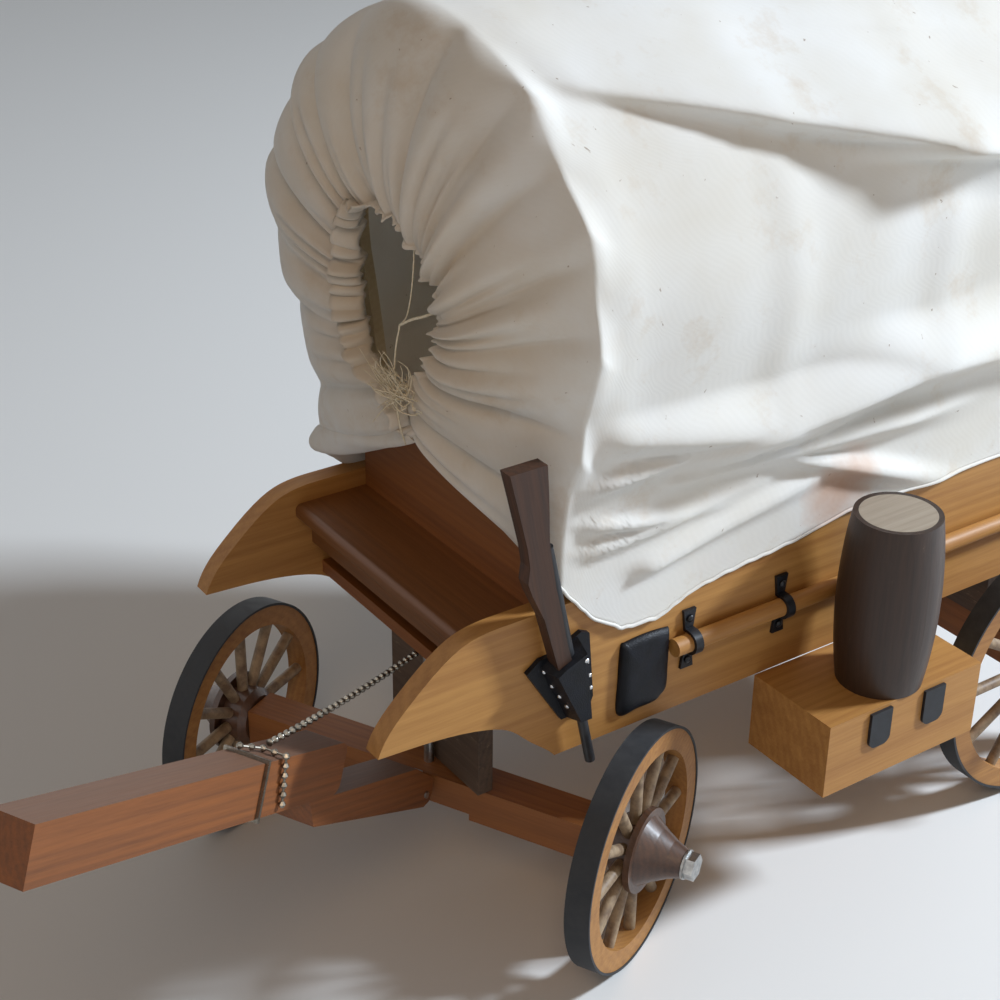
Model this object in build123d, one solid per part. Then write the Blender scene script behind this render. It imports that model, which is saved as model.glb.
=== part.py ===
"""Toy covered wagon: pine body, canvas cover, four spoked wheels, steered front axle and tongue.

Millimetres, +Z up, front towards -Y, +X is the wagon's left. The kingpin stands on X = 0, Y = 0
and the wheels stand on Z = 0. The front axle is shown turned and the tongue raised.
"""

import os
from math import cos, radians, sin

from build123d import *

os.makedirs("parts", exist_ok=True)

# Wheels and axles
wheel_front_r = 58.0
wheel_rear_r = 72.0
half_track = 107.0
tyre_width = 12.0
tyre_band = 1.2
rim_depth = 10.0
rim_width = 11.0
spoke_count = 12
spoke_dia = 5.5
spoke_seat = 3.0
hub_core_r = 14.5
hub_flange_r = 20.0
hub_flange_in = 3.6
hub_flange_out = 6.6
hub_foot_r = 16.5
hub_nose_r = 6.6
hub_inner = 9.0
hub_outer = 25.0
axle_bolt_dia = 6.35
axle_bore_gap = 0.08
bolt_head_across = 11.1
bolt_head_height = 4.4
bolt_in_wood = 24.0
axle_beam_half = 97.4
axle_beam_height = 19.0
axle_beam_depth = 19.0
beam_notch_half = 27.0
beam_notch = 3.5
steer_rest = 27.0

# Body boards
body_width = 162.0
board = 9.5
board_low = 114.0
board_top = 189.0
horn_reach = 75.0
body_front = 13.0
body_overhang = 90.0
floor_thick = 8.0
dash_thick = 6.35
dash_y = 11.0
dash_top = 230.0
seat_front = -27.0
seat_thick = 8.0
seat_top = 180.0
seat_round = 3.0
rail_depth = 6.35
rail_low = 158.0
rail_front = -19.0
foot_y = 6.6
foot_thick = 4.0
foot_low = 132.0
tail_top = 206.0

# Under the floor
bolster_width = 74.0
bolster_front = 3.0
rear_bolster_depth = 19.0
fifth_gap = 1.0
kingpin_dia = 4.8
kingpin_head = 10.0
toe_front = -14.0
toe_low = 140.0
toe_thick = 6.35

# Tongue
tongue_wide = 19.0
tongue_high = 23.0
tongue_pitch = 24.0
tongue_pivot_y = -19.0
tongue_pivot_z = 63.0
tongue_back = 85.0
tongue_long = 285.0
tongue_round = 5.0
hound_wide = 19.0
hound_long = 108.0
hound_above = 14.8
hound_below = 6.0
hound_end = 12.0
eye_plate = 4.4
eye_plate_r = 5.0
eye_plate_gap = 0.4
tongue_pin_dia = 3.2
turn_at = 148.0
turn_wire = 1.4
knot_at = 137.0
bead_dia = 3.2
bead_pitch = 4.1
bead_link = 1.0
tail_beads = 5
eye_gap = 7.0
eye_r = 4.4
eye_wire = 1.6

# Side box and barrel
box_y = 127.5
box_long = 96.0
box_wheel_gap = 10.0
box_out = 51.0
box_low = 75.0
box_high = 113.5
barrel_gap = 0.3
barrel_forward = 0.5
barrel_end_r = 20.0
barrel_belly_r = 23.5
barrel_high = 86.0
barrel_lip = 2.5
stave = 2.5
latch_wide = 13.0
latch_high = 19.0
latch_thick = 1.6
latch_inset = 31.0
latch_drop = 2.0

# Things on the left side board
rod_dia = 8.4
rod_z = 149.5
rod_front = 73.6
strap_narrow = 4.2
strap_wide = 7.0
strap_tall = 30.0
strap_thick = 1.6
pad_y = 59.5
pad_wide = 27.5
pad_low = 122.0
pad_high = 159.5
pad_thick = 4.5
pad_corner = 5.5
pad_round = 3.6
scabbard_back = 2.4
scabbard_swell = 9.5
scabbard_margin = 6.0
stock_thick = 7.0
stock_gap = 0.2
barrel_tube_dia = 4.6

# Cover
cloth = 1.0
cover_gap = 0.8
cover_front = 12.0
cover_pout = 30.0
cover_lean = 22.0
shoulder_out = 21.0
shoulder_share = 0.3
mouth_half_wide = 25.5
mouth_half_high = 37.0
mouth_trim = 1.0
mouth_x = 10.5
mouth_z = 303.0
cover_top = 426.0
hem_front = 167.0
hem_rear = 184.0
hem_corner_y = 45.0
hem_level_y = 150.0
hem_side_z = 198.0
hem_arch_z = 240.0
bow_dia = 5.0
bow_count = 5
bow_clear = 2.4


pieces = {}


def put(name, shape):
    """Keep a finished piece under its own name."""
    pieces[name] = shape


def block(x, y, z):
    """Box from three (low, high) pairs."""
    size = Box(x[1] - x[0], y[1] - y[0], z[1] - z[0])
    return Pos((x[0] + x[1]) / 2, (y[0] + y[1]) / 2, (z[0] + z[1]) / 2) * size


def slab(points, x):
    """Side-view outline of (y, z) points made into a board between two X values."""
    face = make_face(Plane.YZ * Polyline(*points, close=True))
    return Pos(x[0], 0, 0) * extrude(face, x[1] - x[0], dir=(1, 0, 0))


half = body_width / 2

wheel_base = box_y + box_long + box_wheel_gap + wheel_rear_r
body_rear = wheel_base + body_overhang

# Side boards with their curved horns: points as shares of the horn's reach and the board's height
board_high = board_top - board_low
horn_upper = [(1.00, 0.44), (0.80, 0.71), (0.54, 0.92), (0.20, 1.00)]
horn_lower = [(0.00, 0.16), (0.14, 0.29), (0.30, 0.36), (0.60, 0.415), (1.00, 0.44)]


def horn_points(rows):
    """Points of the side view from (reach, height) shares."""
    return [Vector(0, -reach * horn_reach, board_low + height * board_high) for reach, height in rows]


upper = horn_points(horn_upper)
lower = [Vector(0, body_front, board_low)] + horn_points(horn_lower)
horn = Spline(*upper, tangents=[(0, 0.35, 1), (0, 1, 0)])
sweep_up = Spline(*lower, tangents=[(0, -0.75, 1), (0, -1, 0.05)])
rear_top = Vector(0, body_rear, board_top)
rear_low = Vector(0, body_rear, board_low)
outline = Wire([horn, Line(upper[-1], rear_top), Line(rear_top, rear_low), Line(rear_low, lower[0]), sweep_up])
side = extrude(make_face(outline), board, dir=(1, 0, 0))
put("side_board_left", Pos(half - board, 0, 0) * side)
put("side_board_right", Pos(-half, 0, 0) * side)

inner = half - board
floor_top = board_low + floor_thick
put("floor_board", block((-inner, inner), (dash_y, body_rear - board), (board_low, floor_top)))
put("tail_board", block((-inner, inner), (body_rear - board, body_rear), (board_low, tail_top)))
put("front_panel", block((-inner, inner), (dash_y, dash_y + dash_thick), (floor_top, dash_top)))
seat = block((-inner, inner), (seat_front, dash_y), (seat_top - seat_thick, seat_top))
seat_edges = seat.edges().filter_by(Axis.X).group_by(Axis.Y)[0]
put("seat_board", fillet(seat_edges, seat_round))
rail_y = (rail_front, rail_front + rail_depth)
put("seat_rail", block((-inner, inner), rail_y, (rail_low, seat_top - seat_thick)))
foot_top = seat_top - seat_thick
put("foot_panel", block((-inner, inner), (foot_y, foot_y + foot_thick), (foot_low, foot_top)))

# Running gear under the floor
front_beam_top = wheel_front_r + axle_beam_height / 2
front_beam_low = wheel_front_r - axle_beam_height / 2
rear_beam_top = wheel_rear_r + axle_beam_height / 2
rear_beam_low = wheel_rear_r - axle_beam_height / 2
beam_y = axle_beam_depth / 2
pin_r = kingpin_dia / 2
wide = bolster_width / 2
front_bolster = block((-wide, wide), (bolster_front, dash_y), (front_beam_top + fifth_gap, foot_low))
put("front_bolster", front_bolster)
pin_low = front_beam_low + beam_notch - 0.6
pin_high = toe_low + toe_thick
kingpin = Pos(0, 0, (pin_low + pin_high) / 2) * Cylinder(pin_r, pin_high - pin_low)
kingpin += Pos(0, 0, pin_low - 1.2) * Cylinder(kingpin_head / 2, 2.4)
kingpin += Pos(0, 0, toe_low - 4) * Cylinder(kingpin_head / 2, 3)
put("kingpin", kingpin)
toe_board = block((-inner, inner), (toe_front, foot_y), (toe_low, toe_low + toe_thick))
put("toe_board", toe_board - Pos(0, 0, toe_low) * Cylinder(pin_r, 4 * toe_thick))
bed_y = rear_bolster_depth / 2
put("rear_bolster", block((-inner, inner), (wheel_base - bed_y, wheel_base + bed_y), (rear_beam_top, board_low)))

shank_r = axle_bolt_dia / 2
washer = 1.0
washer_r = 7.0
bolt_start = axle_beam_half - bolt_in_wood
head_start = half_track + hub_outer + 0.4 + washer


def axle_bolts():
    """Hex-headed bolt in each end of an axle beam, on the X axis."""
    bolts = None
    for way in (1, -1):
        length = head_start - bolt_start
        shank = Pos(way * (bolt_start + length / 2), 0, 0) * Rot(0, 90, 0) * Cylinder(shank_r, length)
        ring = Pos(way * (head_start - washer / 2), 0, 0) * Rot(0, 90, 0) * Cylinder(washer_r, washer)
        across = RegularPolygon(bolt_head_across / 2, 6, major_radius=False)
        head = Plane.YZ * extrude(across, bolt_head_height)
        head = Pos(head_start if way > 0 else -head_start - bolt_head_height, 0, 0) * head
        one = shank + ring + head
        bolts = one if bolts is None else bolts + one
    return bolts


bolts = axle_bolts()
rear_place = Pos(0, wheel_base, wheel_rear_r)
front_place = Rot(0, 0, steer_rest) * Pos(0, 0, wheel_front_r)
beam = block((-axle_beam_half, axle_beam_half), (-beam_y, beam_y), (-axle_beam_height / 2, axle_beam_height / 2))
notch_z = (-axle_beam_height / 2, -axle_beam_height / 2 + beam_notch)
beam -= block((-beam_notch_half, beam_notch_half), (-beam_y, beam_y), notch_z)
beam -= bolts
put("rear_axle_beam", rear_place * beam)
put("rear_axle_bolts", rear_place * bolts)
front_beam = beam - Cylinder(pin_r + axle_bore_gap, 2 * axle_beam_height)
put("front_axle_beam", front_place * front_beam)
put("front_axle_bolts", front_place * bolts)

# Tongue on its hound, pinned over an eye plate on the front beam
steer = Rot(0, 0, steer_rest)
tongue_place = steer * Pos(0, tongue_pivot_y, tongue_pivot_z) * Rot(-tongue_pitch, 0, 0)
across = Rot(0, 90, 0)
plate_x = eye_plate / 2
plate_z = (tongue_pivot_z - eye_plate_r, tongue_pivot_z + eye_plate_r)
plate = block((-plate_x, plate_x), (tongue_pivot_y, -beam_y), plate_z)
plate += Pos(0, tongue_pivot_y, tongue_pivot_z) * across * Cylinder(eye_plate_r, eye_plate)
pin_long = hound_wide + 1.6
plate += Pos(0, tongue_pivot_y, tongue_pivot_z) * across * Cylinder(tongue_pin_dia / 2, pin_long)
put("tongue_hinge", steer * plate)

# Hound in side view, (along, above) from the pin: round below the pin, chamfered above it
hound_outline = [
    (0, -hound_below),
    (-0.75 * hound_below, -0.66 * hound_below),
    (-hound_below, 0),
    (-0.75 * hound_below, 0.5 * hound_above),
    (2.5 * hound_below, hound_above),
    (hound_long, hound_above),
    (0.93 * hound_long, hound_above - hound_end),
]
side_view = make_face(Plane.YZ * Polyline(*[(-along, above) for along, above in hound_outline], close=True))
hound = Pos(-hound_wide / 2, 0, 0) * extrude(side_view, hound_wide, dir=(1, 0, 0))
slot_x = plate_x + eye_plate_gap
slot_y = (-eye_plate_r - 3 * eye_plate_gap, hound_long)
hound -= block((-slot_x, slot_x), slot_y, (-hound_long, hound_long))
hound -= across * Cylinder(tongue_pin_dia / 2 + axle_bore_gap, 2 * hound_wide)
put("hound_board", tongue_place * hound)
tongue_top = hound_above + tongue_high
stick = block((-tongue_wide / 2, tongue_wide / 2), (-tongue_long, -tongue_back), (hound_above, tongue_top))
stick = fillet(stick.edges().filter_by(Axis.X).group_by(Axis.Y)[-1], tongue_round)
put("tongue", tongue_place * stick)


def bead():
    """Eight-sided bead of the chain, its string along Z."""
    belly = RegularPolygon(bead_dia / 2, 8)
    cap = extrude(belly, bead_dia * 0.42, taper=28)
    return cap + mirror(cap, Plane.XY)


def beads_along(start, end):
    """Straight run of beads on their wire from one point to another."""
    run = end - start
    count = int(run.length / bead_pitch)
    gap = run.length / count
    wire = RegularPolygon(bead_link / 2, 6)
    string = extrude(wire, run.length)
    for number in range(count + 1):
        string += Pos(0, 0, number * gap) * bead()
    return Plane(start, z_dir=run).location * string


# Wire turn that binds the chain's knot and hanging tail to the tongue
turn_wide = tongue_wide + 2 * turn_wire
turn_high = tongue_high + 2 * turn_wire
turn = Rectangle(turn_wide, turn_high) - Rectangle(tongue_wide, tongue_high)
turn = Pos(0, -turn_at + turn_wire / 2, (hound_above + tongue_top) / 2) * Rot(90, 0, 0) * extrude(turn, turn_wire)
on_top = tongue_top + bead_dia / 2
beside = tongue_wide / 2 + bead_dia / 2
knot = Vector(0, -knot_at, on_top)
hang_top = Vector(beside, -knot_at, on_top)
hang_end = Vector(beside, -knot_at + bead_pitch, on_top - tail_beads * bead_pitch)
tied = beads_along(Vector(-bead_pitch, -turn_at, on_top + turn_wire), knot)
tied += beads_along(knot, hang_top)
tied += beads_along(hang_top, hang_end)
put("tongue_chain", tongue_place * (turn + tied))


def turned(points):
    """Solid of revolution about the X axis from (x, r) points."""
    face = make_face(Plane.XY * Polyline(*points, close=True))
    return revolve(face, Axis.X)


def wheel(radius):
    """Rim, tyre band, spokes and hub with its bore, outer side towards +X."""
    hx = tyre_width / 2
    rx = rim_width / 2
    rim_out = radius - tyre_band
    rim_in = rim_out - rim_depth
    tyre = turned([(-hx, rim_out), (-hx, radius), (hx, radius), (hx, rim_out)])
    rim = turned([(-rx, rim_in), (-rx, rim_out), (rx, rim_out), (rx, rim_in)])
    bore = shank_r + axle_bore_gap
    hub_cone = hub_outer - hub_flange_out
    hub_taper = hub_foot_r - hub_nose_r
    hub = turned(
        [
            (-hub_inner, bore),
            (-hub_inner, hub_core_r - 3),
            (-hub_inner + 3, hub_core_r),
            (hub_flange_in, hub_core_r),
            (hub_flange_in, hub_flange_r),
            (hub_flange_out, hub_flange_r),
            (hub_flange_out, hub_foot_r),
            (hub_flange_out + hub_cone / 3, hub_nose_r + 0.58 * hub_taper),
            (hub_flange_out + 2 * hub_cone / 3, hub_nose_r + 0.24 * hub_taper),
            (hub_outer, hub_nose_r),
            (hub_outer, bore),
        ]
    )
    spokes = None
    root = hub_core_r - spoke_seat
    length = rim_in + spoke_seat - root
    for number in range(spoke_count):
        rod = Pos(0, 0, root + length / 2) * Cylinder(spoke_dia / 2, length)
        rod = Rot(number * 360 / spoke_count, 0, 0) * rod
        spokes = rod if spokes is None else spokes + rod
    return {"tyre": tyre, "rim": rim - spokes, "spokes": spokes, "hub": hub - spokes}


front_set = wheel(wheel_front_r)
rear_set = wheel(wheel_rear_r)
wheel_table = [
    ("front_left", front_set, front_place, 1),
    ("front_right", front_set, front_place, -1),
    ("rear_left", rear_set, rear_place, 1),
    ("rear_right", rear_set, rear_place, -1),
]
for name, wheel_set, place, way in wheel_table:
    turn = Rot(0, 0, 0) if way > 0 else Rot(0, 0, 180)
    for piece, shape in wheel_set.items():
        put(f"{piece}_{name}", place * Pos(way * half_track, 0, 0) * turn * shape)

# Side box with barrel
box_x = (half, half + box_out)
side_box = block(box_x, (box_y, box_y + box_long), (box_low, box_high))
put("side_box", side_box)
latch_x = half + box_out
latch_top = box_high - latch_drop
latches = None
for latch_y in (box_y + latch_inset, box_y + box_long - latch_inset):
    latch_span = (latch_y - latch_wide / 2, latch_y + latch_wide / 2)
    latch = block((latch_x, latch_x + latch_thick), latch_span, (latch_top - latch_high, latch_top))
    latch = fillet(latch.edges().filter_by(Axis.X).group_by(Axis.Z)[0], latch_wide / 3)
    latches = latch if latches is None else latches + latch
put("side_box_latch", latches)
belly = barrel_high / 2
wall = [
    (barrel_end_r, 0),
    (barrel_belly_r, belly),
    (barrel_end_r, barrel_high),
]
outline = Spline(*[Vector(r, 0, z) for r, z in wall])
lip_r = barrel_end_r - stave
lines = Polyline(
    Vector(barrel_end_r, 0, barrel_high),
    Vector(lip_r, 0, barrel_high),
    Vector(lip_r, 0, barrel_high - barrel_lip),
    Vector(0, 0, barrel_high - barrel_lip),
    Vector(0, 0, 0),
    Vector(barrel_end_r, 0, 0),
)
cask = revolve(make_face(Wire([outline] + lines.edges())), Axis.Z)
barrel_out = rod_dia + barrel_gap + barrel_belly_r
barrel_spot = Pos(half + barrel_out, box_y + box_long / 2 - barrel_forward, box_high)
put("barrel", barrel_spot * cask)
lid = Pos(0, 0, barrel_high - barrel_lip / 2) * Cylinder(lip_r, barrel_lip)
put("barrel_lid", barrel_spot * lid)

# Round rod held on the side board by two bowed straps
rod_r = rod_dia / 2
rod_rear = body_rear - 20
rod_spot = Pos(half + rod_r, 0, rod_z)
rod_long = rod_rear - rod_front
put("side_moulding", rod_spot * Pos(0, rod_front, 0) * Rot(-90, 0, 0) * extrude(Circle(rod_r), rod_long))
bow_r = rod_r + strap_thick
bow = Pos(rod_r, 0) * (Circle(bow_r) - Circle(rod_r))
bow += Pos(rod_r / 2, 0) * Rectangle(rod_r, 2 * bow_r)
bow -= Pos(rod_r, 0) * Circle(rod_r)
bow -= Pos(rod_r / 2, 0) * Rectangle(rod_r, 2 * rod_r)
foot_high = strap_tall / 2 - rod_r
bow += Pos(strap_thick / 2, rod_r + foot_high / 2) * Rectangle(strap_thick, foot_high)
bow += Pos(strap_thick / 2, -rod_r - foot_high / 2) * Rectangle(strap_thick, foot_high)
section = Plane.XZ * bow
strap_shape = Polyline(
    (-strap_wide / 2, strap_tall / 2),
    (strap_wide / 2, strap_tall / 2),
    (strap_narrow / 2, rod_r),
    (strap_narrow / 2, -rod_r),
    (strap_wide / 2, -strap_tall / 2),
    (-strap_wide / 2, -strap_tall / 2),
    (-strap_narrow / 2, -rod_r),
    (-strap_narrow / 2, rod_r),
    close=True,
)
outline_cut = extrude(make_face(Plane.YZ * strap_shape), 4 * bow_r, dir=(1, 0, 0))
strap = Pos(0, strap_wide / 2, 0) * extrude(section, strap_wide, dir=(0, -1, 0)) & outline_cut
strap_places = [("front", 84.0), ("rear", 138.0)]
for name, y in strap_places:
    put(f"moulding_bracket_{name}", Pos(half, y, rod_z) * strap)

# Leather pad with a slanted lower rear corner and a rounded top
pad_rear = pad_y + pad_wide / 2
pad_front = pad_y - pad_wide / 2
pad_outline = [
    (pad_front, pad_low + pad_corner / 3),
    (pad_front, pad_high),
    (pad_rear, pad_high),
    (pad_rear, pad_low + pad_corner / 2),
    (pad_rear - pad_corner, pad_low),
]
pad = slab(pad_outline, (half, half + pad_thick))
top_edge = pad.edges().filter_by(Axis.Y).group_by(Axis.Z)[-1].sort_by(Axis.X)[-1]
put("leather_pad", fillet(top_edge, pad_round))

# Scabbard with a swell over the rifle, and the rifle leaning in it
case_outline = [
    (27.9, 172.5),
    (23.6, 174.5),
    (9.4, 168.0),
    (2.5, 167.6),
    (-4.1, 162.8),
    (14.3, 133.5),
    (28.8, 133.5),
    (31.1, 139.6),
]
swell_outline = [
    (22.0, 173.5),
    (8.0, 167.7),
    (2.0, 164.0),
    (16.5, 133.5),
    (26.5, 133.5),
]
case = slab(case_outline, (half, half + scabbard_back))
swell_face = make_face(Plane.YZ * Polyline(*swell_outline, close=True))
swell = Pos(half, 0, 0) * extrude(swell_face, scabbard_back + scabbard_swell, dir=(1, 0, 0), taper=12)
case += swell
stock_rows = [
    (263.0, -19.0, -1.2),
    (250.0, -15.6, -0.2),
    (228.0, -10.0, 0.8),
    (219.0, -8.5, 2.2),
    (211.5, -9.3, 3.6),
    (205.6, -7.2, 4.6),
    (192.0, -0.8, 8.0),
    (175.8, 3.9, 11.4),
    (160.0, 8.5, 16.0),
    (146.0, 12.5, 19.5),
]
stock_left = [(front, z) for z, front, rear in stock_rows]
stock_right = [(rear, z) for z, front, rear in stock_rows]
stock_outline = stock_left + stock_right[::-1]
stock_in = half + scabbard_back
stock = slab(stock_outline, (stock_in, stock_in + stock_thick))
tube_x = stock_in + stock_thick / 2
tube_top = Vector(tube_x, 2.2, 224.0)
tube_low = Vector(tube_x, 28.0, 109.5)
run = tube_low - tube_top
tube_r = barrel_tube_dia / 2
tube = Solid.make_cylinder(tube_r, run.length, Plane(tube_top, z_dir=run))
bed = Solid.make_cylinder(tube_r + stock_gap / 2, 1.1 * run.length, Plane(tube_top - run * 0.05, z_dir=run))
stock -= bed
pocket = slab(stock_outline, (stock_in, stock_in + stock_thick + stock_gap))
case -= pocket
case -= bed
put("scabbard", case.solids().sort_by(SortBy.VOLUME)[-1])
put("rifle_stock", stock.solids().sort_by(SortBy.VOLUME)[-1])
put("rifle_barrel", tube)

# Ring round the kingpin and the bead chain that runs to it
eye_z = toe_low - eye_gap
eye_wide = Circle(eye_r + eye_wire / 2) - Circle(eye_r - eye_wire / 2)
put("chain_ring", Pos(0, 0, eye_z - eye_wire / 2) * extrude(eye_wide, eye_wire))
start = (tongue_place * Pos(0, -knot_at + bead_pitch, on_top + bead_dia / 2)).position
lean = Vector(0, 0, eye_z - eye_wire) - start
reach = (lean.length - eye_r - bead_dia) / lean.length
put("chain", beads_along(start, start + lean * reach))

# Cover section, right half from foot to shoulder: (outwards from the board, height)
cover_profile = [
    (-21.0, 138.0),
    (0.0, 160.0),
    (0.0, 190.0),
    (-0.5, 225.0),
    (5.0, 255.0),
    (14.0, 290.0),
    (15.0, 322.0),
    (-1.0, 366.0),
    (-33.0, 404.0),
]
cover_foot = 130.0
cover_rear = body_rear


def section_points(grow):
    """Cover section from its foot round the left side, thicker by grow."""
    side = [(half + x + grow, z) for x, z in cover_profile]
    other = [(-x, z) for x, z in reversed(side)]
    return [(0, cover_foot - grow)] + side + [(0, cover_top + grow)] + other


def mouth_points(grow):
    """Drawn-in mouth, an upright ellipse with as many points as the section."""
    wide = mouth_half_wide + grow
    high = mouth_half_high + grow
    count = 2 * len(cover_profile) + 2
    angles = [radians(360 * number / count) for number in range(count)]
    return [(mouth_x + wide * sin(angle), mouth_z - high * cos(angle)) for angle in angles]


def ring(points, y, lean):
    """Closed smooth section at y on the left, and ahead of that by lean on the right."""
    spots = [Vector(x, y - lean * (half - x) / body_width, z) for x, z in points]
    return make_face(Wire([Spline(*spots, periodic=True)]))


def cap(grow, y, way, lean, swell):
    """Filled end of the cover, from its hoop over a rounded shoulder to the mouth."""
    section = section_points(grow)
    mouth = mouth_points(grow)
    far = 1 - shoulder_share
    shoulder = [
        (x * far + u * shoulder_share, z * far + w * shoulder_share)
        for (x, z), (u, w) in zip(section, mouth)
    ]
    hoop_ring = ring(section, y, lean)
    shoulder_ring = ring(shoulder, y + way * (shoulder_out + swell), lean)
    mouth_ring = ring(mouth, y + way * (cover_pout + swell), lean * shoulder_share)
    return loft([hoop_ring, shoulder_ring]) + loft([shoulder_ring, mouth_ring])


def cover_solid(grow, swell):
    """Filled cover with a drawn-in cap at each end."""
    section = section_points(grow)
    front = ring(section, cover_front, cover_lean)
    rear = ring(section, cover_rear, 0)
    body = loft([front, rear])
    return body + cap(grow, cover_front, -1, cover_lean, swell) + cap(grow, cover_rear, 1, 0, swell)


outer_grow = cover_gap + cloth
outer_cover = cover_solid(outer_grow, 0.0)
inner_cover = cover_solid(cover_gap, -cloth)
cover = outer_cover - inner_cover
wide_cut = 2 * body_width
far_front = cover_front - 3 * cover_pout
far_rear = cover_rear + 3 * cover_pout
mouth_wide = mouth_half_wide + outer_grow + mouth_trim
mouth_high = mouth_half_high + outer_grow + mouth_trim
mouth_face = Plane.XZ * Pos(mouth_x, mouth_z) * Ellipse(mouth_wide, mouth_high)
cover -= Pos(0, cover_front, 0) * extrude(mouth_face, cover_front - far_front, dir=(0, -1, 0))
cover -= Pos(0, cover_rear, 0) * extrude(mouth_face, far_rear - cover_rear, dir=(0, 1, 0))
hem_cut = [
    (far_front, 0),
    (far_front, hem_side_z),
    (cover_front, hem_side_z),
    (hem_corner_y, hem_front),
    (hem_corner_y + 20, hem_front),
    (hem_level_y, hem_rear),
    (far_rear, hem_rear),
    (far_rear, 0),
]
cover -= slab(hem_cut, (-wide_cut, wide_cut))
arch_rows = [(-1.05, 0.0), (-0.45, 0.3), (0.10, 1.0), (0.60, 0.67), (0.86, 0.22), (1.05, 0.0)]
arch = [(half * x, hem_side_z + z * (hem_arch_z - hem_side_z)) for x, z in arch_rows]
arch = [(-wide_cut, 0), (-wide_cut, hem_side_z)] + arch + [(wide_cut, hem_side_z), (wide_cut, 0)]
arch_face = make_face(Plane.XZ * Polyline(*arch, close=True))
cover -= Pos(0, cover_front, 0) * extrude(arch_face, cover_front - far_front, dir=(0, -1, 0))
cover -= block((-wide_cut, wide_cut), (cover_rear, far_rear), (0, tail_top + 1))
put("canvas_cover", cover.solids().sort_by(SortBy.VOLUME)[-1])

# Bows: straight legs on the boards, then three arcs a side
bow_corners = [(-0.5, 225.0), (14.0, 290.0), (-1.0, 366.0)]
bow_mids = [(5.0, 255.0), (15.0, 322.0), (-33.0, 404.0)]


def bow_outline(y, grow):
    """Section of a bow's outer or inner side, closed under the boards' top."""
    edges = []
    for way in (1, -1):
        corners = [Vector(way * (half + x + grow), y, z) for x, z in bow_corners]
        mids = [Vector(way * (half + x + grow), y, z) for x, z in bow_mids]
        corners.append(Vector(0, y, cover_top + grow))
        leg = Vector(corners[0].X, y, board_low)
        edges += [Line(Vector(0, y, board_low), leg), Line(leg, corners[0])]
        edges += [ThreePointArc(corners[n], mids[n], corners[n + 1]) for n in range(len(mids))]
    return make_face(Wire([edge for line in edges for edge in line.edges()]))


bows = None
span = (cover_rear - 3 * cover_front) / (bow_count - 1)
for number in range(bow_count):
    y = 2 * cover_front + number * span
    hoop = extrude(bow_outline(y - bow_dia / 2, -bow_clear), bow_dia, dir=(0, 1, 0))
    hoop -= extrude(bow_outline(y - bow_dia / 2, -bow_clear - bow_dia), bow_dia, dir=(0, 1, 0))
    hoop -= block((-wide_cut, wide_cut), (far_front, far_rear), (0, board_top))
    bows = hoop if bows is None else bows + hoop
put("cover_bows", bows)

# Origin under the middle of the whole wagon
boxes = [shape.bounding_box() for shape in pieces.values()]
middle_x = (min(box.min.X for box in boxes) + max(box.max.X for box in boxes)) / 2
middle_y = (min(box.min.Y for box in boxes) + max(box.max.Y for box in boxes)) / 2
for name, shape in pieces.items():
    moved = Pos(-middle_x, -middle_y, 0) * shape
    moved.label = name
    export_step(moved, f"parts/{name}.step")
print("kingpin at", -middle_x, -middle_y)
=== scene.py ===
# %% [markdown]
# # A toy covered wagon
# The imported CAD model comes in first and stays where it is. It gives every wooden,
# metal and leather piece its place, in metres. The cells below add the camera, the light,
# one finish for each material and the pieces that are cloth, thread or very small.

# %% Load the frame
import math

import bmesh
import bpy
import numpy as np
from mathutils import Matrix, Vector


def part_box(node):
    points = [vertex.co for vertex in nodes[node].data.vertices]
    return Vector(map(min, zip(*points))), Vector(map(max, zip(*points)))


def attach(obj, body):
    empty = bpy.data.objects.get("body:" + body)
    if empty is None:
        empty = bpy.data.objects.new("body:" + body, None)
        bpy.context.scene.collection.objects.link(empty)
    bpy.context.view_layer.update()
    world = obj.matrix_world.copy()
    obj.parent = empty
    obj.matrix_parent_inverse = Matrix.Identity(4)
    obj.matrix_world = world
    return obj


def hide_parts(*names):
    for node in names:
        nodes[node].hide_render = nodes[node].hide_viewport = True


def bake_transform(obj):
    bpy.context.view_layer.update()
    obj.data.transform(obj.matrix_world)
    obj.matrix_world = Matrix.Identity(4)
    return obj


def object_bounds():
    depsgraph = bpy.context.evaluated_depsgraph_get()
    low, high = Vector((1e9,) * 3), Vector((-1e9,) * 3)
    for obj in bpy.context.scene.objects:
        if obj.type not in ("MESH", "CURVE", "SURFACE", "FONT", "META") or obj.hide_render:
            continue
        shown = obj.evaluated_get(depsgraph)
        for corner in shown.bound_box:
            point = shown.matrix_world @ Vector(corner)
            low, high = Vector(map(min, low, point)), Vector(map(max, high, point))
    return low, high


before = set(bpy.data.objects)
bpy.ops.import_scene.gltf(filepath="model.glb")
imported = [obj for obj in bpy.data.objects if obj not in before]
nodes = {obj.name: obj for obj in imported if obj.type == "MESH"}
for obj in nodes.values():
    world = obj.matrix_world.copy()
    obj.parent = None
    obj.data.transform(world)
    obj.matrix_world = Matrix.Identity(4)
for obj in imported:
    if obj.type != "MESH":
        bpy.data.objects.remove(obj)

cad_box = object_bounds()
pin_low, pin_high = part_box("kingpin")
PIN = np.array([(pin_low[0] + pin_high[0]) / 2, (pin_low[1] + pin_high[1]) / 2, 0.0])
print("CAD box in metres:", [round(float(v), 4) for corner in cad_box for v in corner])
print("kingpin stands at:", PIN.round(4))

# %% [markdown]
# ## Camera
# The camera looks down on the front left corner of the wagon from a little under a metre
# away. How fast things grow towards the eye depends on that distance alone, and the lens
# only decides how much is in the picture, so both were worked out together from the corners
# of the boards. Places are written in millimetres to the left of, behind and above the
# point of the floor that lies under the kingpin.

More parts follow.
